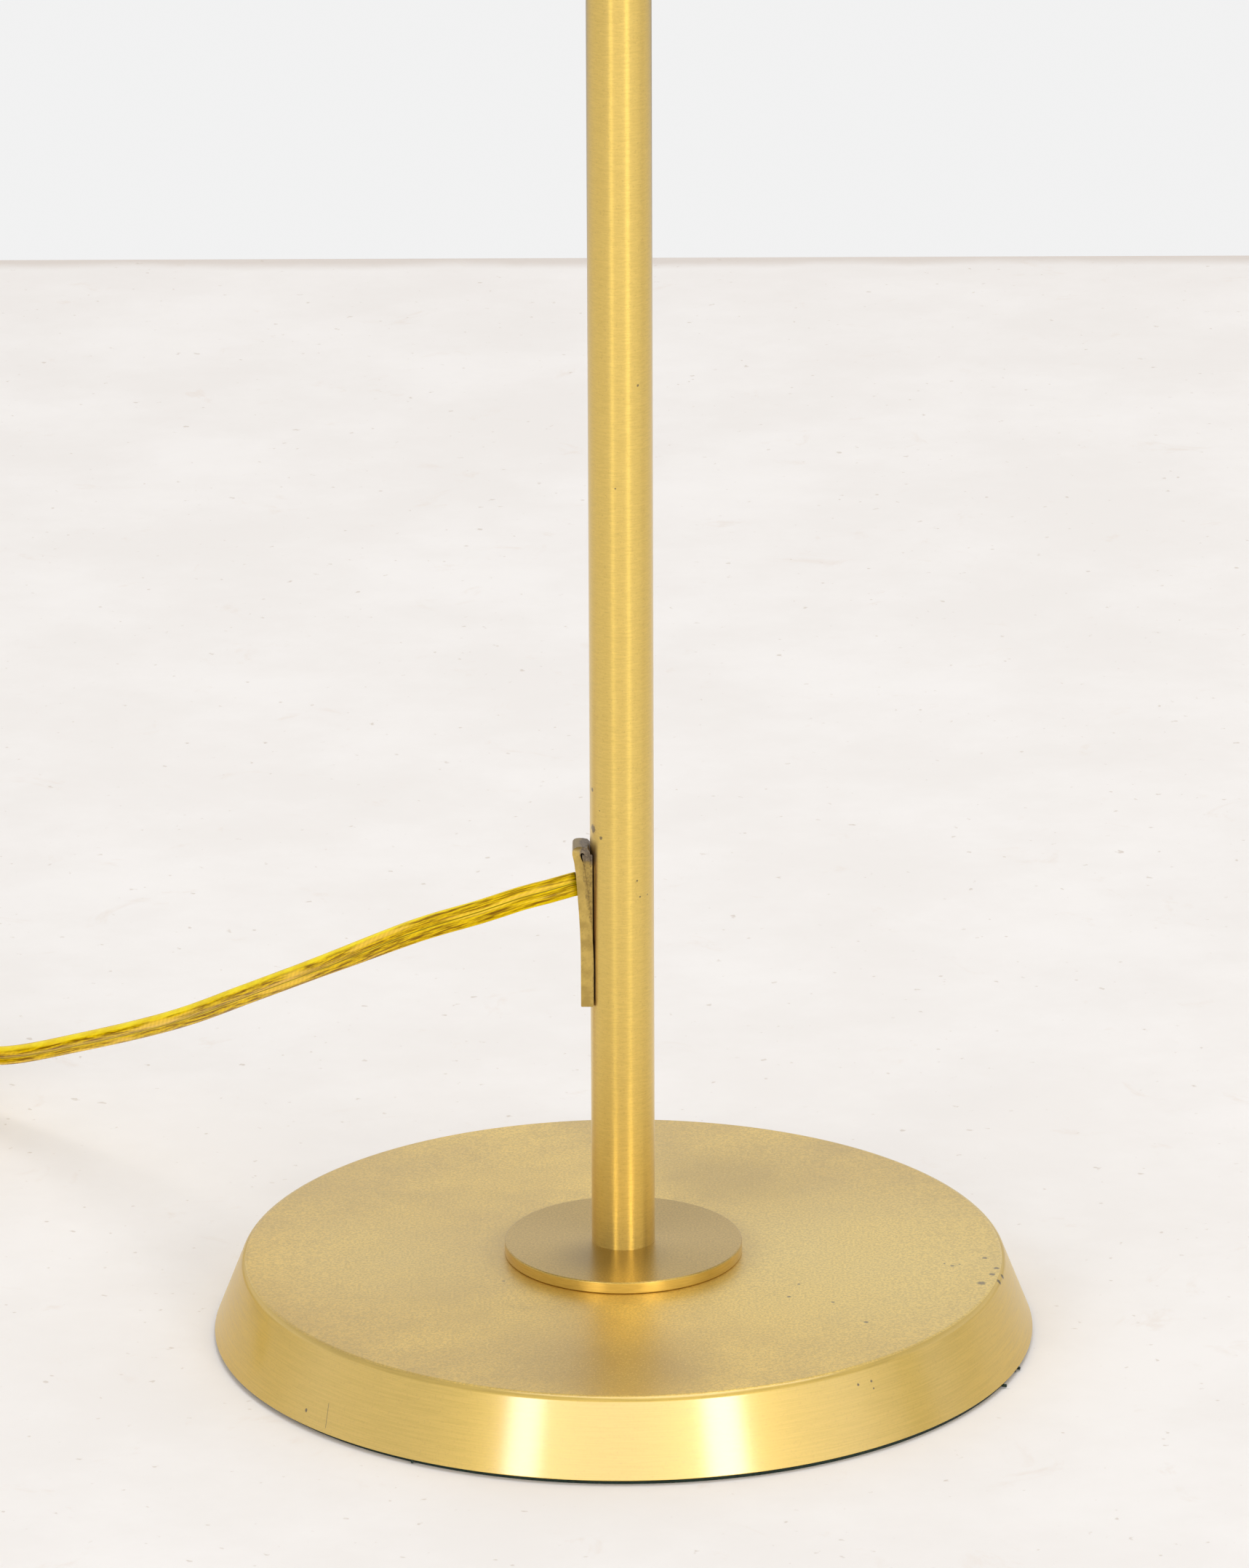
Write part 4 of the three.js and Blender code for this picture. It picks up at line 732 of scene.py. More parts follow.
def folded_strip(name, skins, wide):
    """A strip whose end face is extruded from one pair of skins to the next."""
    place, across = middle_of(skins[0])
    strip = started("plane", name, place, (across.length, wide, 1), size=1)
    with editing(strip, "FACE"):
        for pair in skins[1:]:
            next_place, next_across = middle_of(pair)
            lean = math.atan2(across.z, across.x) - math.atan2(next_across.z, next_across.x)
            way = across.normalized()
            extrude(*(next_place - place))
            bpy.ops.transform.resize(
                value=(next_across.length / across.length, 1, 1), center_override=next_place,
                orient_type="GLOBAL", orient_matrix_type="GLOBAL",
                orient_matrix=(way, (0, 1, 0), way.cross((0, 1, 0))))
            bpy.ops.transform.rotate(value=-lean, orient_axis="Y", center_override=next_place)
            place, across = next_place, next_across
        face_outwards()
    return strip


def round_end(piece, beyond, width, segments):
    """Rounds the edges along X whose ends both lie beyond some place."""
    def chosen(edge):
        ends = [piece.data.vertices[v].co for v in edge.vertices]
        return all(beyond(end) for end in ends) and abs(ends[0].x - ends[1].x) > 0.001
    with editing(piece, "EDGE", chosen):
        bpy.ops.mesh.bevel(offset=width, segments=segments, affect="EDGES")


plate = folded_strip("folded_cord_plate", PLATE_SKINS, PLATE_WIDE)
combine(plate, "UNION", folded_strip("inner_leg", INNER_LEG, PLATE_WIDE - 0.0012))

# The two top corners are rounded, the back is hollowed to the pole, and the cord's hole is cut.
blank = started("cube", "blank", (-0.012, 0, 0.129), (0.010, PLATE_WIDE, 0.0540), size=1)
round_end(blank, lambda end: end.z > 0.15, 0.0030, 8)
combine(plate, "INTERSECT", blank)
cut(plate, rod(POLE + 0.0003, 0.09, 0.17, sides=128), oval_bar("hole", *CORD_HOLE))
crisp(plate, 0.00025)


def plate_brass():
    """Duller than the tube, with grey-brown solder at the fold, and dark stain and painted shade on the inner
    leg.
    """
    material, shader = new_finish("plate brass", Roughness=0.4, Coat_Weight=0.6, Coat_Roughness=0.35)
    spot = spot_on(shader)
    brass, cloud = mottled(spot, (260.0, 4.0), (0.3, 0.7), (0.42, 0.285, 0.065), (0.60, 0.42, 0.105))
    brass, grain = mottled(spot, (1500.0, 3.0, 0.7), (0.5, 0.7, 0.35), brass, (0.26, 0.165, 0.045))
    ragged = times(maths("SUBTRACT", cloud, 0.5), 0.004)
    east, _, height = split(spot)
    east, height = maths("ADD", east, ragged), maths("ADD", height, ragged)
    # The inner leg begins inwards of the outer leg's inner skin, which leans away as it rises.
    skin = fade(height, 0.122, 0.156, -0.0087, -0.0127)
    inner = fade(maths("SUBTRACT", east, skin), 0.0, 0.0004)
    fold = fade(height, 0.1530, 0.1548)
    solder = maths("MAXIMUM", times(fold, fade(east, -0.0134, -0.0116)),
                   times(inner, fade(height, 0.1496, 0.1512)))
    # The fold is darkened by tarnish. The inner leg, in the recess between the outer leg and the pole, is
    # darkened partly by stain and partly as painted shade.
    tarnish_and_shade = maths("MAXIMUM", times(fold, 0.75), times(inner, fade(grain, 0.42, 0.62, 0.25, 0.8)))
    grey = blended(fade(grain, 0.35, 0.65), (0.085, 0.055, 0.026), (0.210, 0.155, 0.090))
    colour = blended(tarnish_and_shade, brass, (0.21, 0.135, 0.035))
    relief = maths("ADD", times(grain, 0.4), times(solder, cloud))
    feed(shader, Base_Color=blended(solder, colour, grey), Metallic=fade(solder, 0.0, 1.0, 1.0, 0.35),
         Roughness=maths("ADD", fade(solder, 0.0, 1.0, 0.38, 0.62), times(grain, 0.08)),
         Normal=bumped(relief, 0.25, 0.0006))
    return material


fit(plate, plate_brass(), "stand", "dull_brass", "cord_plate")


# Cord sleeve. A black moulded oval sleeve in the hole, so that the brass doesn't cut the cord.
# It fills the plate's hole and ends level with the plate's outer skin.
sleeve = oval_bar("oval_sleeve", 0.0054, 0.0086, 0.007325, 0.012925)
cut(sleeve, oval_bar("bore", 0.0044, 0.0076, 0.005, 0.016))
crisp(sleeve, 0.0001)


def moulded(name, dark, light, rough=0.42, size=420.0):
    """A moulded plastic: a fine pebbled skin with slightly cloudy colour."""
    material, shader = new_finish(name, Roughness=rough)
    spot = spot_on(shader)
    colour, cloud = mottled(spot, (60.0, 5.0, 0.6), (0.3, 0.7), dark, light)
    feed(shader, Base_Color=colour, Roughness=fade(cloud, 0.3, 0.7, rough - 0.06, rough + 0.08),
         Normal=bumped(cloudy(spot, size * 4), 0.05, 0.0005))
    return material


black_plastic = moulded("black plastic", (0.012, 0.012, 0.013), (0.022, 0.021, 0.021))
fit(sleeve, black_plastic, "stand", "black_plastic", "cord_sleeve")


# Felt. A disc of green wool felt glued under the base, a little smaller than the cover's foot.
# It was glued on by hand, a little off the middle, and a few tufts stick out at its edge.
FELT_EDGE = 0.1216


def gathered(tools):
    """Several tools that don't touch, as one."""
    take(tools[0])
    for tool in tools:
        tool.select_set(True)
    bpy.ops.object.join()
    return tools[0]


felt = spun("felt_pad", [(0.0005, 0), (FELT_EDGE, 0), (FELT_EDGE, FELT), (0.0005, FELT)], 256)
tufts = []
for turn, length in ((-23.6, 0.0020), (-16.9, 0.0016), (-17.8, 0.0008), (-120.5, 0.0016)):
    tufts.append(rod(0.0005, 0.1205, FELT_EDGE + length, turn=90, place=(0, 0, 0.0008), sides=8))
    move(tufts[-1], turn=turn, axis="Z")
combine(felt, "UNION", gathered(tufts))
move(felt, (0.00056, -0.00042, 0))


def green_felt():
    material, shader = new_finish("green felt", Roughness=0.95, Sheen_Weight=0.1)
    spot = spot_on(shader)
    # Painted shade: the felt's own green is darkened almost to black, as it lies under the base's edge.
    colour, wool = mottled(spot, (900.0, 6.0, 0.75, 1.5), (0.3, 0.7), (0.003, 0.010, 0.006),
                           (0.013, 0.040, 0.026))
    tufts = put(shader.id_data, "TexVoronoi", {"Vector": spot, "Scale": 500.0}).outputs["Distance"]
    feed(shader, Base_Color=colour, Normal=bumped(maths("ADD", wool, tufts), 0.7, 0.0006))
    return material


fit(felt, green_felt(), "stand", "green_felt", "base_felt")


# Under the base. The iron weight fills the cover. A threaded steel stud runs up into the pole's foot,
# and a washer, a toothed lock washer and a nut draw it down from the weight's recess.
def cast_iron():
    material, shader = new_finish("cast iron", Metallic=0.7, Roughness=0.75)
    spot = spot_on(shader)
    iron, sand = mottled(spot, (420.0, 5.0, 0.7), (0.3, 0.7), (0.035, 0.036, 0.038), (0.085, 0.085, 0.086))
    rusty, _ = mottled(spot, (28.0, 6.0), (0.56, 0.70, 0.7), iron, (0.16, 0.065, 0.025))
    feed(shader, Base_Color=rusty, Roughness=fade(sand, 0.3, 0.7, 0.65, 0.85), Normal=bumped(sand, 0.6))
    return material


def about(spot, middle, lean=0.0):
    """Places from a piece's own middle, with Z along its axis, which leans by some degrees."""
    turn = math.radians(-lean)
    return mapped(spot, location=Matrix.Rotation(turn, 3, "Y") @ -Vector(middle), rotation=(0, turn, 0))


def plain_metal(name, dark, light, rough, middle=(0, 0, 0), rings=1800.0):
    """Zinc-plated steel or unpolished brass, with faint turning marks about an upright axis."""
    material, shader = new_finish(name, Metallic=1.0, Roughness=rough)
    spot = about(spot_on(shader), middle)
    mark = turned(spot, rings, 5.0)
    cloud = cloudy(spot, 150.0, 4.0)
    feed(shader, Base_Color=blended(fade(maths("ADD", mark, cloud), 0.7, 1.3), dark, light),
         Roughness=fade(cloud, 0.3, 0.7, rough - 0.05, rough + 0.1), Normal=bumped(mark, 0.08))
    return material


def repaint(material, *nodes):
    """The CAD's own pieces that stay get this finish."""
    for node in nodes:
        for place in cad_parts[node].material_slots:
            place.material = material


steel = plain_metal("zinc plated steel", (0.42, 0.42, 0.43), (0.62, 0.62, 0.62), 0.34)
plain_brass = plain_metal("plain brass", (0.55, 0.34, 0.07), (0.74, 0.50, 0.13), 0.36)
repaint(cast_iron(), "base_weight")
repaint(steel, "base_washer", "base_lock_washer", "base_nut", "base_stud")
repaint(plain_brass, "pole_foot_bush")


# Wires. The two insulated wires run up the pole, round the arm and down the barrel to the holder.
# Each is stranded copper in clear gold vinyl, like the cord.
def wire_vinyl():
    material, shader = new_finish("wire vinyl", Roughness=0.3, Coat_Weight=0.3)
    colour, streaks = mottled(spot_on(shader), (300.0, 3.0), (0.35, 0.65), (0.30, 0.13, 0.006),
                              (0.85, 0.60, 0.04))
    feed(shader, Base_Color=colour, Normal=bumped(streaks, 0.1, 0.0003))
    return material


repaint(wire_vinyl(), "pole_wire", "arm_wire", "head_wire")


# Swivel. A turned bush closes the pole's top, with a flange on the tube's end. The hollow spindle
# turns in it, on a nylon slip washer above and a sprung wave washer and nut below.
FLANGE_TOP, SLIP_TOP = 1.184, 1.185
BUSH, BUSH_BORE, BUSH_FOOT, SLIP = 0.008025, 0.0052, 1.150, 0.008725


def turned_brass(name, middle=(0, 0, 0), lean=0.0):
    """Satin brass turned about its own axis, which stands at the middle and leans by some degrees."""
    material, shader = new_finish(name, Metallic=1.0, Roughness=0.34, Anisotropic=0.8,
                                  Coat_Weight=1.0, Coat_Roughness=0.42, Coat_IOR=1.5)
    radial_brushing(shader)
    spot = about(spot_on(shader), middle, lean)
    mark = turned(spot, 2900.0, 6.0)
    colour = blended(fade(mark, 0.25, 0.75), (0.66, 0.45, 0.095), (0.75, 0.525, 0.125))
    colour, _ = mottled(spot, (30.0, 4.0), (0.35, 0.7, 0.30), colour, (0.66, 0.45, 0.10))
    colour, _ = mottled(spot, (1500.0, 2.0), (0.55, 0.75, 0.30), colour, (0.55, 0.34, 0.06))
    feed(shader, Base_Color=colour, Roughness=fade(mark, 0.2, 0.8, 0.28, 0.38), Normal=bumped(mark, 0.05))
    return material


swivel_brass = turned_brass("swivel brass")
bush = spun("pole_cap_bush", [
    (BUSH_BORE, BUSH_FOOT), (BUSH, BUSH_FOOT), (BUSH, POLE_TOP), (POLE, POLE_TOP), (POLE, FLANGE_TOP),
    (BUSH_BORE, FLANGE_TOP)], 96)
soften(bush, [(POLE, FLANGE_TOP), (POLE, POLE_TOP)], 0.0004, 3)
fit(bush, swivel_brass, "stand", "satin_brass", "pole_top_bush")

slip_washer = spun("nylon_slip_washer", [
    (STUD_HOLE, FLANGE_TOP), (SLIP, FLANGE_TOP), (SLIP, SLIP_TOP), (STUD_HOLE, SLIP_TOP)], 96)
nylon = moulded("natural nylon", (0.66, 0.63, 0.54), (0.74, 0.71, 0.63), 0.5)
fit(slip_washer, nylon, "arm", "natural_nylon", "swivel_slip_washer")
repaint(steel, "swivel_spindle", "swivel_wave_washer", "swivel_nut")


# Collar. A turned brass collar that joins the arm to the swivel: a drum as wide as the pole,
# and above it a narrower socket in which the arm's tube is seated.
SOCKET, SOCKET_BORE, COLLAR_TOP, ARM_START = 0.00885, 0.00665, 1.225, 1.208
DRUM_TOP, SOCKET_FOOT, WIRE_HOLE, SEAT_WALL = SLIP_TOP + 0.014, SLIP_TOP + 0.022, 0.004, 0.003
collar = spun("swivel_collar", [
    (STUD_HOLE, SLIP_TOP), (POLE, SLIP_TOP), (POLE, DRUM_TOP), (SOCKET, SOCKET_FOOT),
    (SOCKET, COLLAR_TOP), (SOCKET_BORE, COLLAR_TOP), (SOCKET_BORE, ARM_START), (WIRE_HOLE, ARM_START),
    (WIRE_HOLE, ARM_START - SEAT_WALL), (STUD_HOLE, ARM_START - SEAT_WALL)], 128)
soften(collar, [(POLE, SLIP_TOP), (SOCKET, COLLAR_TOP)], 0.0006, 4)
soften(collar, [(POLE, DRUM_TOP), (SOCKET, SOCKET_FOOT)], 0.0015, 6)
fit(collar, swivel_brass, "arm", "satin_brass", "arm_collar")


# Arm. A half-inch brass tube: straight up from the collar, bent round a wide arc in a roller, and
# straight again into the fork. Brushed round its girth like the pole.
ARM, ARM_WALL, ARC, ARC_START, ARM_TAIL = 0.00635, 0.001, 0.250, 1.3498, 0.019
ARC_TURN = math.radians(150)
onward = Vector((math.sin(math.pi - ARC_TURN), 0, -math.cos(math.pi - ARC_TURN)))
arm_tube = started("circle", "arched_arm_tube", (0, 0, ARM_START), vertices=64, radius=ARM)
with editing(arm_tube, "EDGE"):
    extrude(0, 0, ARC_START - ARM_START)
    bpy.ops.mesh.spin(steps=100, angle=-ARC_TURN, center=(ARC, 0, ARC_START), axis=(0, 1, 0))
    extrude(*(onward * ARM_TAIL))
    face_outwards(merge=True)
apply(arm_tube, "SOLIDIFY", thickness=ARM_WALL, offset=-1, use_even_offset=True)


def along_arm(spot):
    """How far along the arm's centreline a point lies, and its angle round the tube."""
    if spot.z < ARC_START and spot.x < ARC:
        return spot.z, math.atan2(spot.y, -spot.x)
    centre = Vector((spot.x - ARC, 0, spot.z - ARC_START))
    turn = math.atan2(centre.z, -centre.x)
    if turn > ARC_TURN:
        outer = centre.dot(Vector((-onward.z, 0, onward.x))) - ARC
        return ARC_START + ARC * ARC_TURN + centre.dot(onward), math.atan2(spot.y, outer)
    return ARC_START + ARC * turn, math.atan2(spot.y, centre.length - ARC)


# UVs in metres: U round the girth and V along the arm.
layer = arm_tube.data.uv_layers.get("UVMap") or arm_tube.data.uv_layers.new(name="UVMap")
for face in arm_tube.data.polygons:
    rounds = []
    for loop in face.loop_indices:
        along, angle = along_arm(arm_tube.data.vertices[arm_tube.data.loops[loop].vertex_index].co)
        if rounds and abs(angle - rounds[0]) > math.pi:
            angle -= math.copysign(math.tau, angle - rounds[0])
        rounds.append(angle)
        layer.data[loop].uv = (angle * ARM, along)


def arm_brass():
    material, shader = new_finish("arm brass", Metallic=1.0, Roughness=0.36, Anisotropic=0.55,
                                  Anisotropic_Rotation=0.25, Coat_Weight=1.0, Coat_Roughness=0.42,
                                  Coat_IOR=1.5)
    tree = shader.id_data
    feed(shader, Tangent=put(tree, "Tangent", direction_type="UV_MAP", uv_map="UVMap").outputs[0])
    uv = put(tree, "UVMap", uv_map="UVMap").outputs["UV"]
    colour, mark = mottled(mapped(uv, (90.0, 1400.0, 1.0)), (1.0, 2.0, 0.6), (0.25, 0.75),
                           (0.71, 0.49, 0.098), (0.77, 0.535, 0.117))
    colour, _ = mottled(spot_on(shader), (1600.0, 2.0, 0.6), (0.55, 0.75, 0.25), colour, (0.60, 0.38, 0.066))
    feed(shader, Base_Color=colour, Roughness=fade(mark, 0.2, 0.8, 0.32, 0.35))
    return material


fit(arm_tube, arm_brass(), "arm", "satin_brass", "arm_tube")


# Fork. A turned brass ferrule on the arm's end, with two ears that hold the head's pivot.
# It is made upright about the pivot, then leans with the arm's end.
PIVOT = Vector((0.485006, 0, 1.442957))
ARM_LEAN = -30
EAR, EAR_IN, EAR_OUT, SCREW_HOLE = 0.0075, 0.0072, 0.0098, 0.0019
FERRULE, FLANGE, FERRULE_SEAT, FERRULE_TOP = 0.00865, 0.01274, 0.018, 0.031
FORK_FOOT, FLANGE_EDGE = 0.011, 0.015
fork = spun("fork_and_ferrule", [
    (WIRE_HOLE, FORK_FOOT), (FLANGE, FORK_FOOT), (FLANGE, FLANGE_EDGE),
    (FERRULE, FERRULE_SEAT), (FERRULE, FERRULE_TOP),
    (SOCKET_BORE, FERRULE_TOP), (SOCKET_BORE, FERRULE_SEAT), (WIRE_HOLE, FERRULE_SEAT)], 128)
soften(fork, [(FLANGE, FLANGE_EDGE)], 0.0009, 4)
soften(fork, [(FERRULE, FERRULE_TOP)], 0.0005, 3)


def copied(piece, name):
    """A copy with a mesh of its own."""
    other = piece.copy()
    other.data = piece.data.copy()
    other.name = other.data.name = name
    bpy.context.scene.collection.objects.link(other)
    return other


def pivot_bore():
    return rod(SCREW_HOLE, -0.03, 0.03, turn=-90, axis="X")


ear = rod(EAR, EAR_IN, EAR_OUT, turn=-90, axis="X", sides=96)
with editing(ear, "EDGE"):
    bpy.ops.mesh.bisect(plane_co=(0, 0, 0), plane_no=(0, 0, 1), clear_outer=True, use_fill=True)
    extrude(0, 0, 0.012)
cut(ear, pivot_bore())
other_ear = copied(ear, "other_ear")
move(other_ear, turn=180, axis="Z")
combine(fork, "UNION", ear, other_ear)
crisp(fork, 0.00025)
move(fork, PIVOT, ARM_LEAN)
fit(fork, turned_brass("fork brass", PIVOT, ARM_LEAN), "arm", "satin_brass", "knuckle_fork")


# Knuckle. A hollow brass barrel between the ears carries the head on a threaded stem. Two slotted
# screws are its pivots, and fibre washers give the friction that holds the shade where it is put.
STEM, STEM_BORE, STEM_END, SHOULDER, NECK = 0.00505, 0.0033, -0.028, 0.0095, 0.0056
SHOULDER_LOW, SHOULDER_TOP, NECK_TOP = -0.014, -0.012, -0.004
barrel = spun("knuckle_barrel_and_stem", [
    (STEM_BORE, STEM_END), (STEM, STEM_END), (STEM, SHOULDER_LOW), (SHOULDER, SHOULDER_LOW),
    (SHOULDER, SHOULDER_TOP), (NECK, SHOULDER_TOP), (NECK, NECK_TOP), (STEM_BORE, NECK_TOP)], 96)
soften(barrel, [(SHOULDER, SHOULDER_LOW), (SHOULDER, SHOULDER_TOP)], 0.0004, 3)
soften(barrel, [(NECK, SHOULDER_TOP)], 0.0008, 4)
combine(barrel, "UNION", rod(EAR, -0.006, 0.006, turn=-90, axis="X", sides=96))
window = started("plane", "window", (0, 0, 0.0075), (0.0064, 0.015, 1), size=1,
                 rotation=(math.radians(90), 0, math.radians(90)))
with editing(window, "EDGE"):
    bpy.ops.transform.rotate(value=math.radians(95), orient_axis="Y", center_override=(0, 0, 0))
    bpy.ops.mesh.spin(steps=24, angle=math.radians(-150), center=(0, 0, 0), axis=(0, 1, 0))
    face_outwards(merge=True)
cut(barrel, rod(EAR - 0.0021, -0.0039, 0.0039, turn=-90, axis="X", sides=64),
    rod(STEM_BORE, -0.029, 0), window, pivot_bore())
crisp(barrel)
move(barrel, PIVOT)
head_brass = turned_brass("head brass", PIVOT)
fit(barrel, head_brass, "head", "satin_brass", "knuckle_barrel")

screw = spun("pivot_screw_near", [
    (0.0001, 0.0042), (0.0013, 0.0042), (0.0016, 0.0047), (0.0016, 0.0100), (0.0034, 0.0100),
    (0.0034, 0.0114), (0.0029, 0.01185), (0.0018, 0.0120), (0.0001, 0.0120)], 48)
cut(screw, started("cube", "slot", (0, 0, 0.0120), (0.0102, 0.0009, 0.0020), size=1))
crisp(screw, 0.00012)
move(screw, PIVOT, 90, "X")
far_screw = copied(screw, "pivot_screw_far")
move(far_screw, -PIVOT)
move(far_screw, PIVOT, 180, "Z")
pivot_brass = plain_metal("pivot brass", (0.60, 0.38, 0.08), (0.78, 0.53, 0.13), 0.30, PIVOT)
fit(screw, pivot_brass, "head", "plain_brass", "knuckle_screw_near")
fit(far_screw, pivot_brass, "head", "plain_brass", "knuckle_screw_far")


def vulcanised_fibre():
    material, shader = new_finish("vulcanised fibre", Roughness=0.8)
    colour, threads = mottled(spot_on(shader), (1200.0, 5.0, 0.5, 2.0), (0.3, 0.7),
                              (0.10, 0.022, 0.012), (0.20, 0.055, 0.03))
    feed(shader, Base_Color=colour, Normal=bumped(threads, 0.4, 0.0004))
    return material


repaint(vulcanised_fibre(), "knuckle_washer_near", "knuckle_washer_far")


# Cup. A spun brass cup hangs from the stem on a nut, and hides the lamp holder. Its open end
# presses the shade against the holder's ring, and the switch's shaft comes out at its side.
CUP, CUP_WALL, CUP_TOP, SHADE_TOP, SWITCH_HEIGHT = 0.021, 0.0012, -0.014, -0.070, -0.0285
cup = spun("holder_cup", [
    (CUP - CUP_WALL, SHADE_TOP), (CUP, SHADE_TOP), (CUP, CUP_TOP), (STUD_HOLE, CUP_TOP),
    (STUD_HOLE, CUP_TOP - CUP_WALL), (CUP - CUP_WALL, CUP_TOP - CUP_WALL)], 128)
soften(cup, [(CUP, CUP_TOP)], 0.0046, 10)
soften(cup, [(CUP - CUP_WALL, CUP_TOP - CUP_WALL)], 0.0034, 8)
soften(cup, [(CUP, SHADE_TOP)], 0.0003, 2)
cut(cup, rod(0.0022, 0.010, 0.030, turn=90, axis="X", place=(0, 0, SWITCH_HEIGHT), sides=40))
move(cup, PIVOT)
fit(cup, head_brass, "head", "satin_brass", "shade_cup")
repaint(steel, "cup_nut")


# Lamp holder. A brown phenolic body with a brass screw shell and a centre contact. Its lower end
# comes through the shade, and a ring on it holds the shade up against the cup.
HOLDER, HOLDER_BORE, HOLDER_END, HOLDER_TOP = 0.0165, 0.0145, -0.078, -0.022
holder = spun("phenolic_holder", [
    (HOLDER_BORE, HOLDER_END), (HOLDER, HOLDER_END), (HOLDER, HOLDER_TOP), (STUD_HOLE, HOLDER_TOP),
    (STUD_HOLE, -0.035), (HOLDER_BORE, -0.035)], 96)
soften(holder, [(HOLDER, HOLDER_TOP), (HOLDER, HOLDER_END)], 0.0007, 3)
cut(holder, rod(0.00175, 0.004, 0.020, turn=90, axis="X", place=(0, 0, SWITCH_HEIGHT), sides=32))
move(holder, PIVOT)
phenolic = moulded("brown phenolic", (0.022, 0.009, 0.005), (0.050, 0.022, 0.012), 0.34)
fit(holder, phenolic, "head", "brown_phenolic", "holder_body")
repaint(pivot_brass, "holder_screw_shell", "holder_contact")

RING, RING_BORE, RING_LOW, RING_TOP, RING_SIDES = 0.0215, 0.0168, -0.0749, -0.0709, 192
shade_ring = spun("shade_ring_nut", [
    (RING_BORE, RING_LOW), (RING, RING_LOW), (RING, RING_TOP), (RING_BORE, RING_TOP)], RING_SIDES)
with editing(shade_ring, "FACE", lambda face: (
        math.hypot(*face.center.xy) > RING - 0.0002
        and math.floor(math.atan2(face.center.y, face.center.x) / math.tau * RING_SIDES) % 4 < 2)):
    bpy.ops.mesh.inset(thickness=0.0001, depth=-0.0005)
move(shade_ring, PIVOT)
fit(shade_ring, phenolic, "head", "brown_phenolic", "shade_ring")


# Shade. A deep dome spun from thin brass, satin outside and enamelled white inside, with its rim
# rolled out over a wire and ten vent holes round its crown.
DOME, DOME_WALL, SEAT, BEAD, DOME_FOOT = 0.110, 0.0009, 0.024, 0.0017, -0.1563
DOME_STEPS, VENT, VENTS, VENTS_OFF = 28, 0.0022, 10, 0.036
dome_rise = (SHADE_TOP - DOME_FOOT) / math.sqrt(1 - (SEAT / DOME) ** 2)


def dome(thin):
    """Radii and heights on the dome, from its foot to its seat."""
    angles = [math.acos(SEAT / DOME) * i / DOME_STEPS for i in range(1, DOME_STEPS + 1)]
    return [((DOME - thin) * math.cos(a), DOME_FOOT + (dome_rise - thin) * math.sin(a)) for a in angles]


def ring_of_rods(radius, low, high, count, off, first, sides):
    """Rods at equal angles round the Z axis, as one tool."""
    turns = [math.tau / count * (i + first) for i in range(count)]
    return gathered([rod(radius, low, high, place=(off * math.cos(turn), off * math.sin(turn), 0),
                         sides=sides) for turn in turns])


rolled_rim = [(DOME + BEAD * (0.5 + math.cos(math.radians(a))), DOME_FOOT + BEAD * math.sin(math.radians(a)))
              for a in range(-150, 91, 20)]
shade = spun("spun_shade", rolled_rim + dome(0) + [(RING_BORE, SHADE_TOP), (RING_BORE, SHADE_TOP - DOME_WALL)]
             + dome(DOME_WALL)[::-1], 192)
cut(shade, ring_of_rods(VENT, -0.100, -0.060, VENTS, VENTS_OFF, 0.0, 32))
move(shade, PIVOT)


def shade_finish():
    """Brass outside; white enamel inside, up to the rolled rim."""
    material, shader = new_finish("shade brass and enamel", Roughness=0.34, Anisotropic=0.8,
                                  Coat_Weight=1.0, Coat_Roughness=0.42, Coat_IOR=1.5)
    radial_brushing(shader)
    side = put(shader.id_data, "Attribute", attribute_name="enamelled").outputs["Fac"]
    spot = about(spot_on(shader), PIVOT)
    mark = turned(spot, 2600.0, 12.0)
    brass = blended(fade(mark, 0.25, 0.75), (0.655, 0.445, 0.095), (0.75, 0.52, 0.125))
    brass, cloud = mottled(spot, (22.0, 5.0), (0.35, 0.7, 0.35), brass, (0.68, 0.46, 0.10))
    brass, _ = mottled(spot, (1300.0, 2.0), (0.55, 0.75, 0.25), brass, (0.55, 0.34, 0.06))
    white = blended(fade(cloud, 0.3, 0.7), (0.78, 0.765, 0.72), (0.84, 0.83, 0.80))
    relief = times(mark, maths("SUBTRACT", 1.0, side))
    feed(shader, Base_Color=blended(side, brass, white), Metallic=fade(side, 0.0, 1.0, 1.0, 0.0),
         Roughness=fade(mark, 0.2, 0.8, 0.29, 0.38), Normal=bumped(relief, 0.05))
    return material


# The enamel is on the faces inside the dome, which look towards its axis or down.
enamel = shade.data.attributes.new("enamelled", "FLOAT", "FACE")
for i, face in enumerate(shade.data.polygons):
    out = face.center - PIVOT
    inwards = face.normal.x * out.x + face.normal.y * out.y < 0 or face.normal.z < -0.5
    enamel.data[i].value = float(inwards and 0.017 < math.hypot(out.x, out.y) < DOME - 0.0007)
fit(shade, shade_finish(), "head", "satin_brass", "shade")


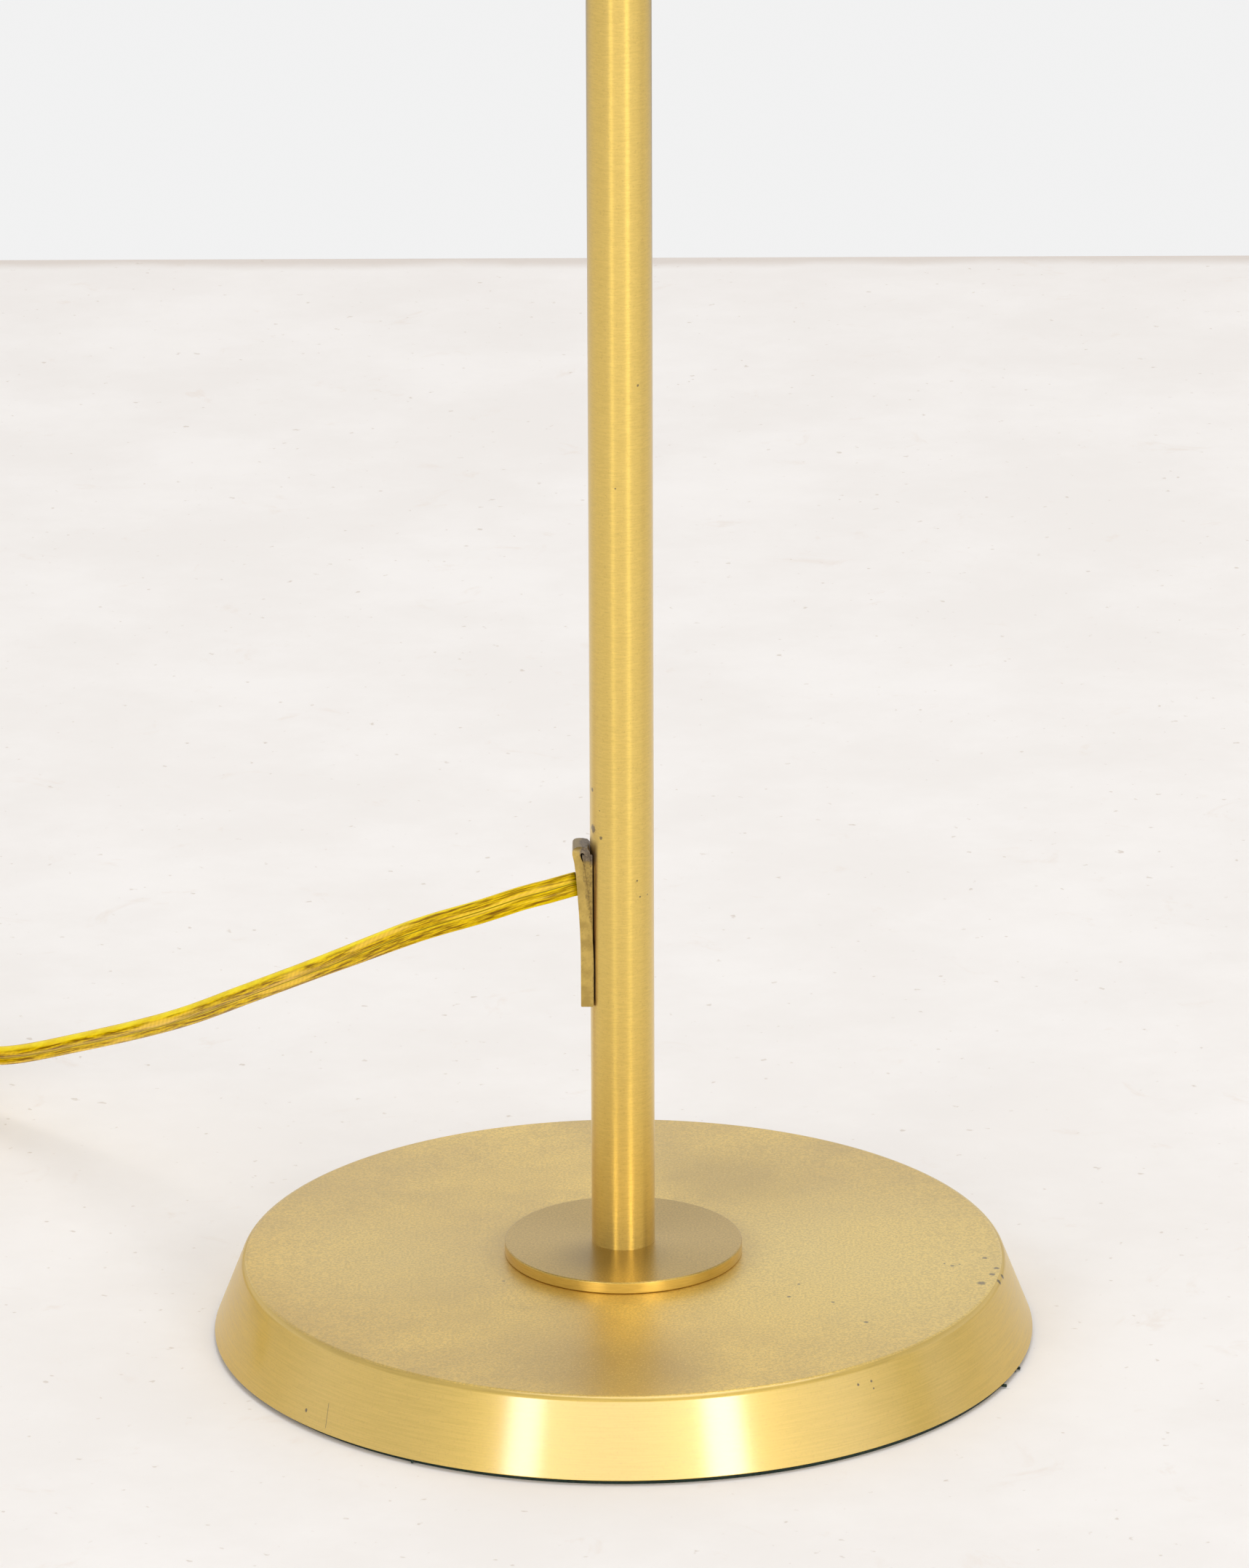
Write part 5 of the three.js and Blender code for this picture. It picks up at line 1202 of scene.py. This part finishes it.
# Switch. A fluted phenolic knob on a brass shaft turns the switch in the holder.
# The knob is moulded with twelve flutes and pressed on the shaft's end.
KNOB, KNOB_BORE, KNOB_NEAR, KNOB_FAR = 0.006, 0.0019, 0.0218, 0.0328
FLUTE, FLUTES, FLUTES_OFF = 0.0010, 12, 0.0063
SHAFT_END = KNOB_NEAR + 0.007
knob = spun("fluted_switch_knob", [
    (KNOB_BORE, KNOB_NEAR), (KNOB, KNOB_NEAR), (KNOB, KNOB_FAR), (0.0001, KNOB_FAR), (0.0001, SHAFT_END),
    (KNOB_BORE, SHAFT_END)], 96)
soften(knob, [(KNOB, KNOB_FAR)], 0.0011, 5)
soften(knob, [(KNOB, KNOB_NEAR)], 0.0004, 3)
cut(knob, ring_of_rods(FLUTE, KNOB_NEAR - 0.002, KNOB_FAR + 0.002, FLUTES, FLUTES_OFF, 0.5, 20))
crisp(knob, 0.00015)
move(knob, PIVOT + Vector((0, 0, SWITCH_HEIGHT)), 90, "X")
fit(knob, phenolic, "switch", "brown_phenolic", "switch_knob")
repaint(pivot_brass, "switch_shaft")


# Bulb. A pear-shaped opal glass bulb in a nickel-plated screw cap.
# The glass is blown in a mould, and the cap is cemented on its neck.
BULB, BULB_MIDDLE, BULB_WALL = 0.030, -0.1203, 0.0006
neck = [(0.0245, -0.1030), (0.0221, -0.0992), (0.0196, -0.0950), (0.0173, -0.0903), (0.0152, -0.0852),
        (0.0136, -0.0808), (0.0124, -0.0765), (0.0119, -0.0720), (0.0118, -0.0695), (0.0118, -0.0635)]


def ball(radius, degrees):
    return [(radius * math.cos(math.radians(a)), BULB_MIDDLE + radius * math.sin(math.radians(a)))
            for a in degrees]


glass = spun("opal_bulb", ball(BULB, range(-89, 31, 7)) + neck
             + [(r - BULB_WALL, z) for r, z in reversed(neck)]
             + ball(BULB - BULB_WALL, range(30, -90, -7)), 96)
move(glass, PIVOT)


def opal_glass():
    material, shader = new_finish("opal glass", Roughness=0.22, IOR=1.5, Coat_Weight=0.5)
    powder = cloudy(spot_on(shader), 90.0, 6.0)
    feed(shader, Base_Color=blended(powder, (0.80, 0.79, 0.745), (0.88, 0.87, 0.84)),
         Roughness=fade(powder, 0.3, 0.7, 0.18, 0.28))
    return material


fit(glass, opal_glass(), "head", "opal_glass", "bulb_glass")
repaint(plain_metal("nickel plate", (0.50, 0.49, 0.46), (0.66, 0.65, 0.62), 0.28, PIVOT), "bulb_cap")
repaint(black_plastic, "bulb_tip")


# Plug. A moulded gold vinyl plug on the cord's end, with a finger grip on each side, and two flat
# brass blades, one wider than the other, each with a hole near its tip.
PLUG_MIDDLE, PLUG_FACE, PLUG_HALF = -0.299, 0.074, 0.007
PLUG_FRONT = 0.01485  # how long the plug is before it tapers towards the cord
BLADES = {"narrow": (-0.00635, 0.00635), "wide": (0.00635, 0.0079)}  # off the middle, and how wide


def at_plug(off, back):
    return (PLUG_MIDDLE + off, PLUG_FACE + back, PLUG_HALF)


plug = started("cube", "moulded_plug", at_plug(0, 0.00742), (0.025, PLUG_FRONT, 2 * PLUG_HALF), size=1)
plug_end = Vector(at_plug(0, PLUG_FRONT))
with editing(plug, "FACE", lambda face: face.normal.y > 0.9):
    for forward, wide, thick in ((0.003, 0.96, 1), (0.0045, 0.85, 0.98), (0.0055, 0.76, 0.94),
                                 (0.00515, 0.80, 0.92)):
        extrude(0, forward, 0)
        plug_end.y += forward
        bpy.ops.transform.resize(value=(wide, 1, thick), center_override=plug_end)
crisp(plug, 0.0019, 5, 60)
cut(plug, gathered([rod(0.0006, -0.004, 0.004, sides=16, place=at_plug(side * 0.0127, 0.0035 + 0.0028 * i))
                    for side in (-1, 1) for i in range(4)]))
for off, wide in BLADES.values():
    cut(plug, started("cube", "seat", at_plug(off, 0), (0.0021, 0.006, wide + 0.0006), size=1))
plug_vinyl = moulded("gold plug vinyl", (0.50, 0.29, 0.012), (0.66, 0.41, 0.025), 0.28, 300.0)
fit(plug, plug_vinyl, "stand", "gold_cord", "plug_body")

blade_brass = plain_metal("blade brass", (0.62, 0.42, 0.12), (0.80, 0.58, 0.20), 0.26,
                          (PLUG_MIDDLE, PLUG_FACE, 0), 900.0)
for name, (off, wide) in BLADES.items():
    blade = started("cube", f"{name}_plug_blade", at_plug(off, -0.00715), (0.0015, 0.0197, wide), size=1)
    round_end(blade, lambda end: end.y < PLUG_FACE - 0.016, 0.0015, 4)
    cut(blade, rod(0.0015, -0.004, 0.004, turn=90, place=at_plug(off, -0.013), sides=32))
    crisp(blade, 0.00015)
    fit(blade, blade_brass, "stand", "plain_brass", f"plug_blade_{name}")


# Tie. A soft black strap round the coil keeps the spare cord wound. It is a flat loop with
# rounded corners, pressed round the coil's lanes.
TIE_OUT, TIE_WALL, TIE_WIDE = 0.0124, 0.0008, 0.008
tie = started("plane", "coil_tie", (-TIE_WIDE / 2, 0, 0), size=2 * TIE_OUT, rotation=(0, math.radians(90), 0))
with editing(tie, "VERT"):
    bpy.ops.mesh.delete(type="ONLY_FACE")
    bpy.ops.mesh.select_all(action="SELECT")
    bpy.ops.mesh.bevel(offset=0.003, segments=6, affect="VERTICES")
    bpy.ops.mesh.select_all(action="SELECT")
    extrude(TIE_WIDE, 0, 0)
    face_outwards()
apply(tie, "SOLIDIFY", thickness=TIE_WALL, offset=-1, use_even_offset=True)
crisp(tie, 0.0002, 2, 60)
move(tie, (COIL_CENTRE[0], COIL_CENTRE[1] - 0.040, 0.0126))
fit(tie, black_plastic, "stand", "black_plastic", "cord_tie")

# The cord's route as tuples: its first point, then every point.
tuple(route[0])
[tuple(p) for p in route]
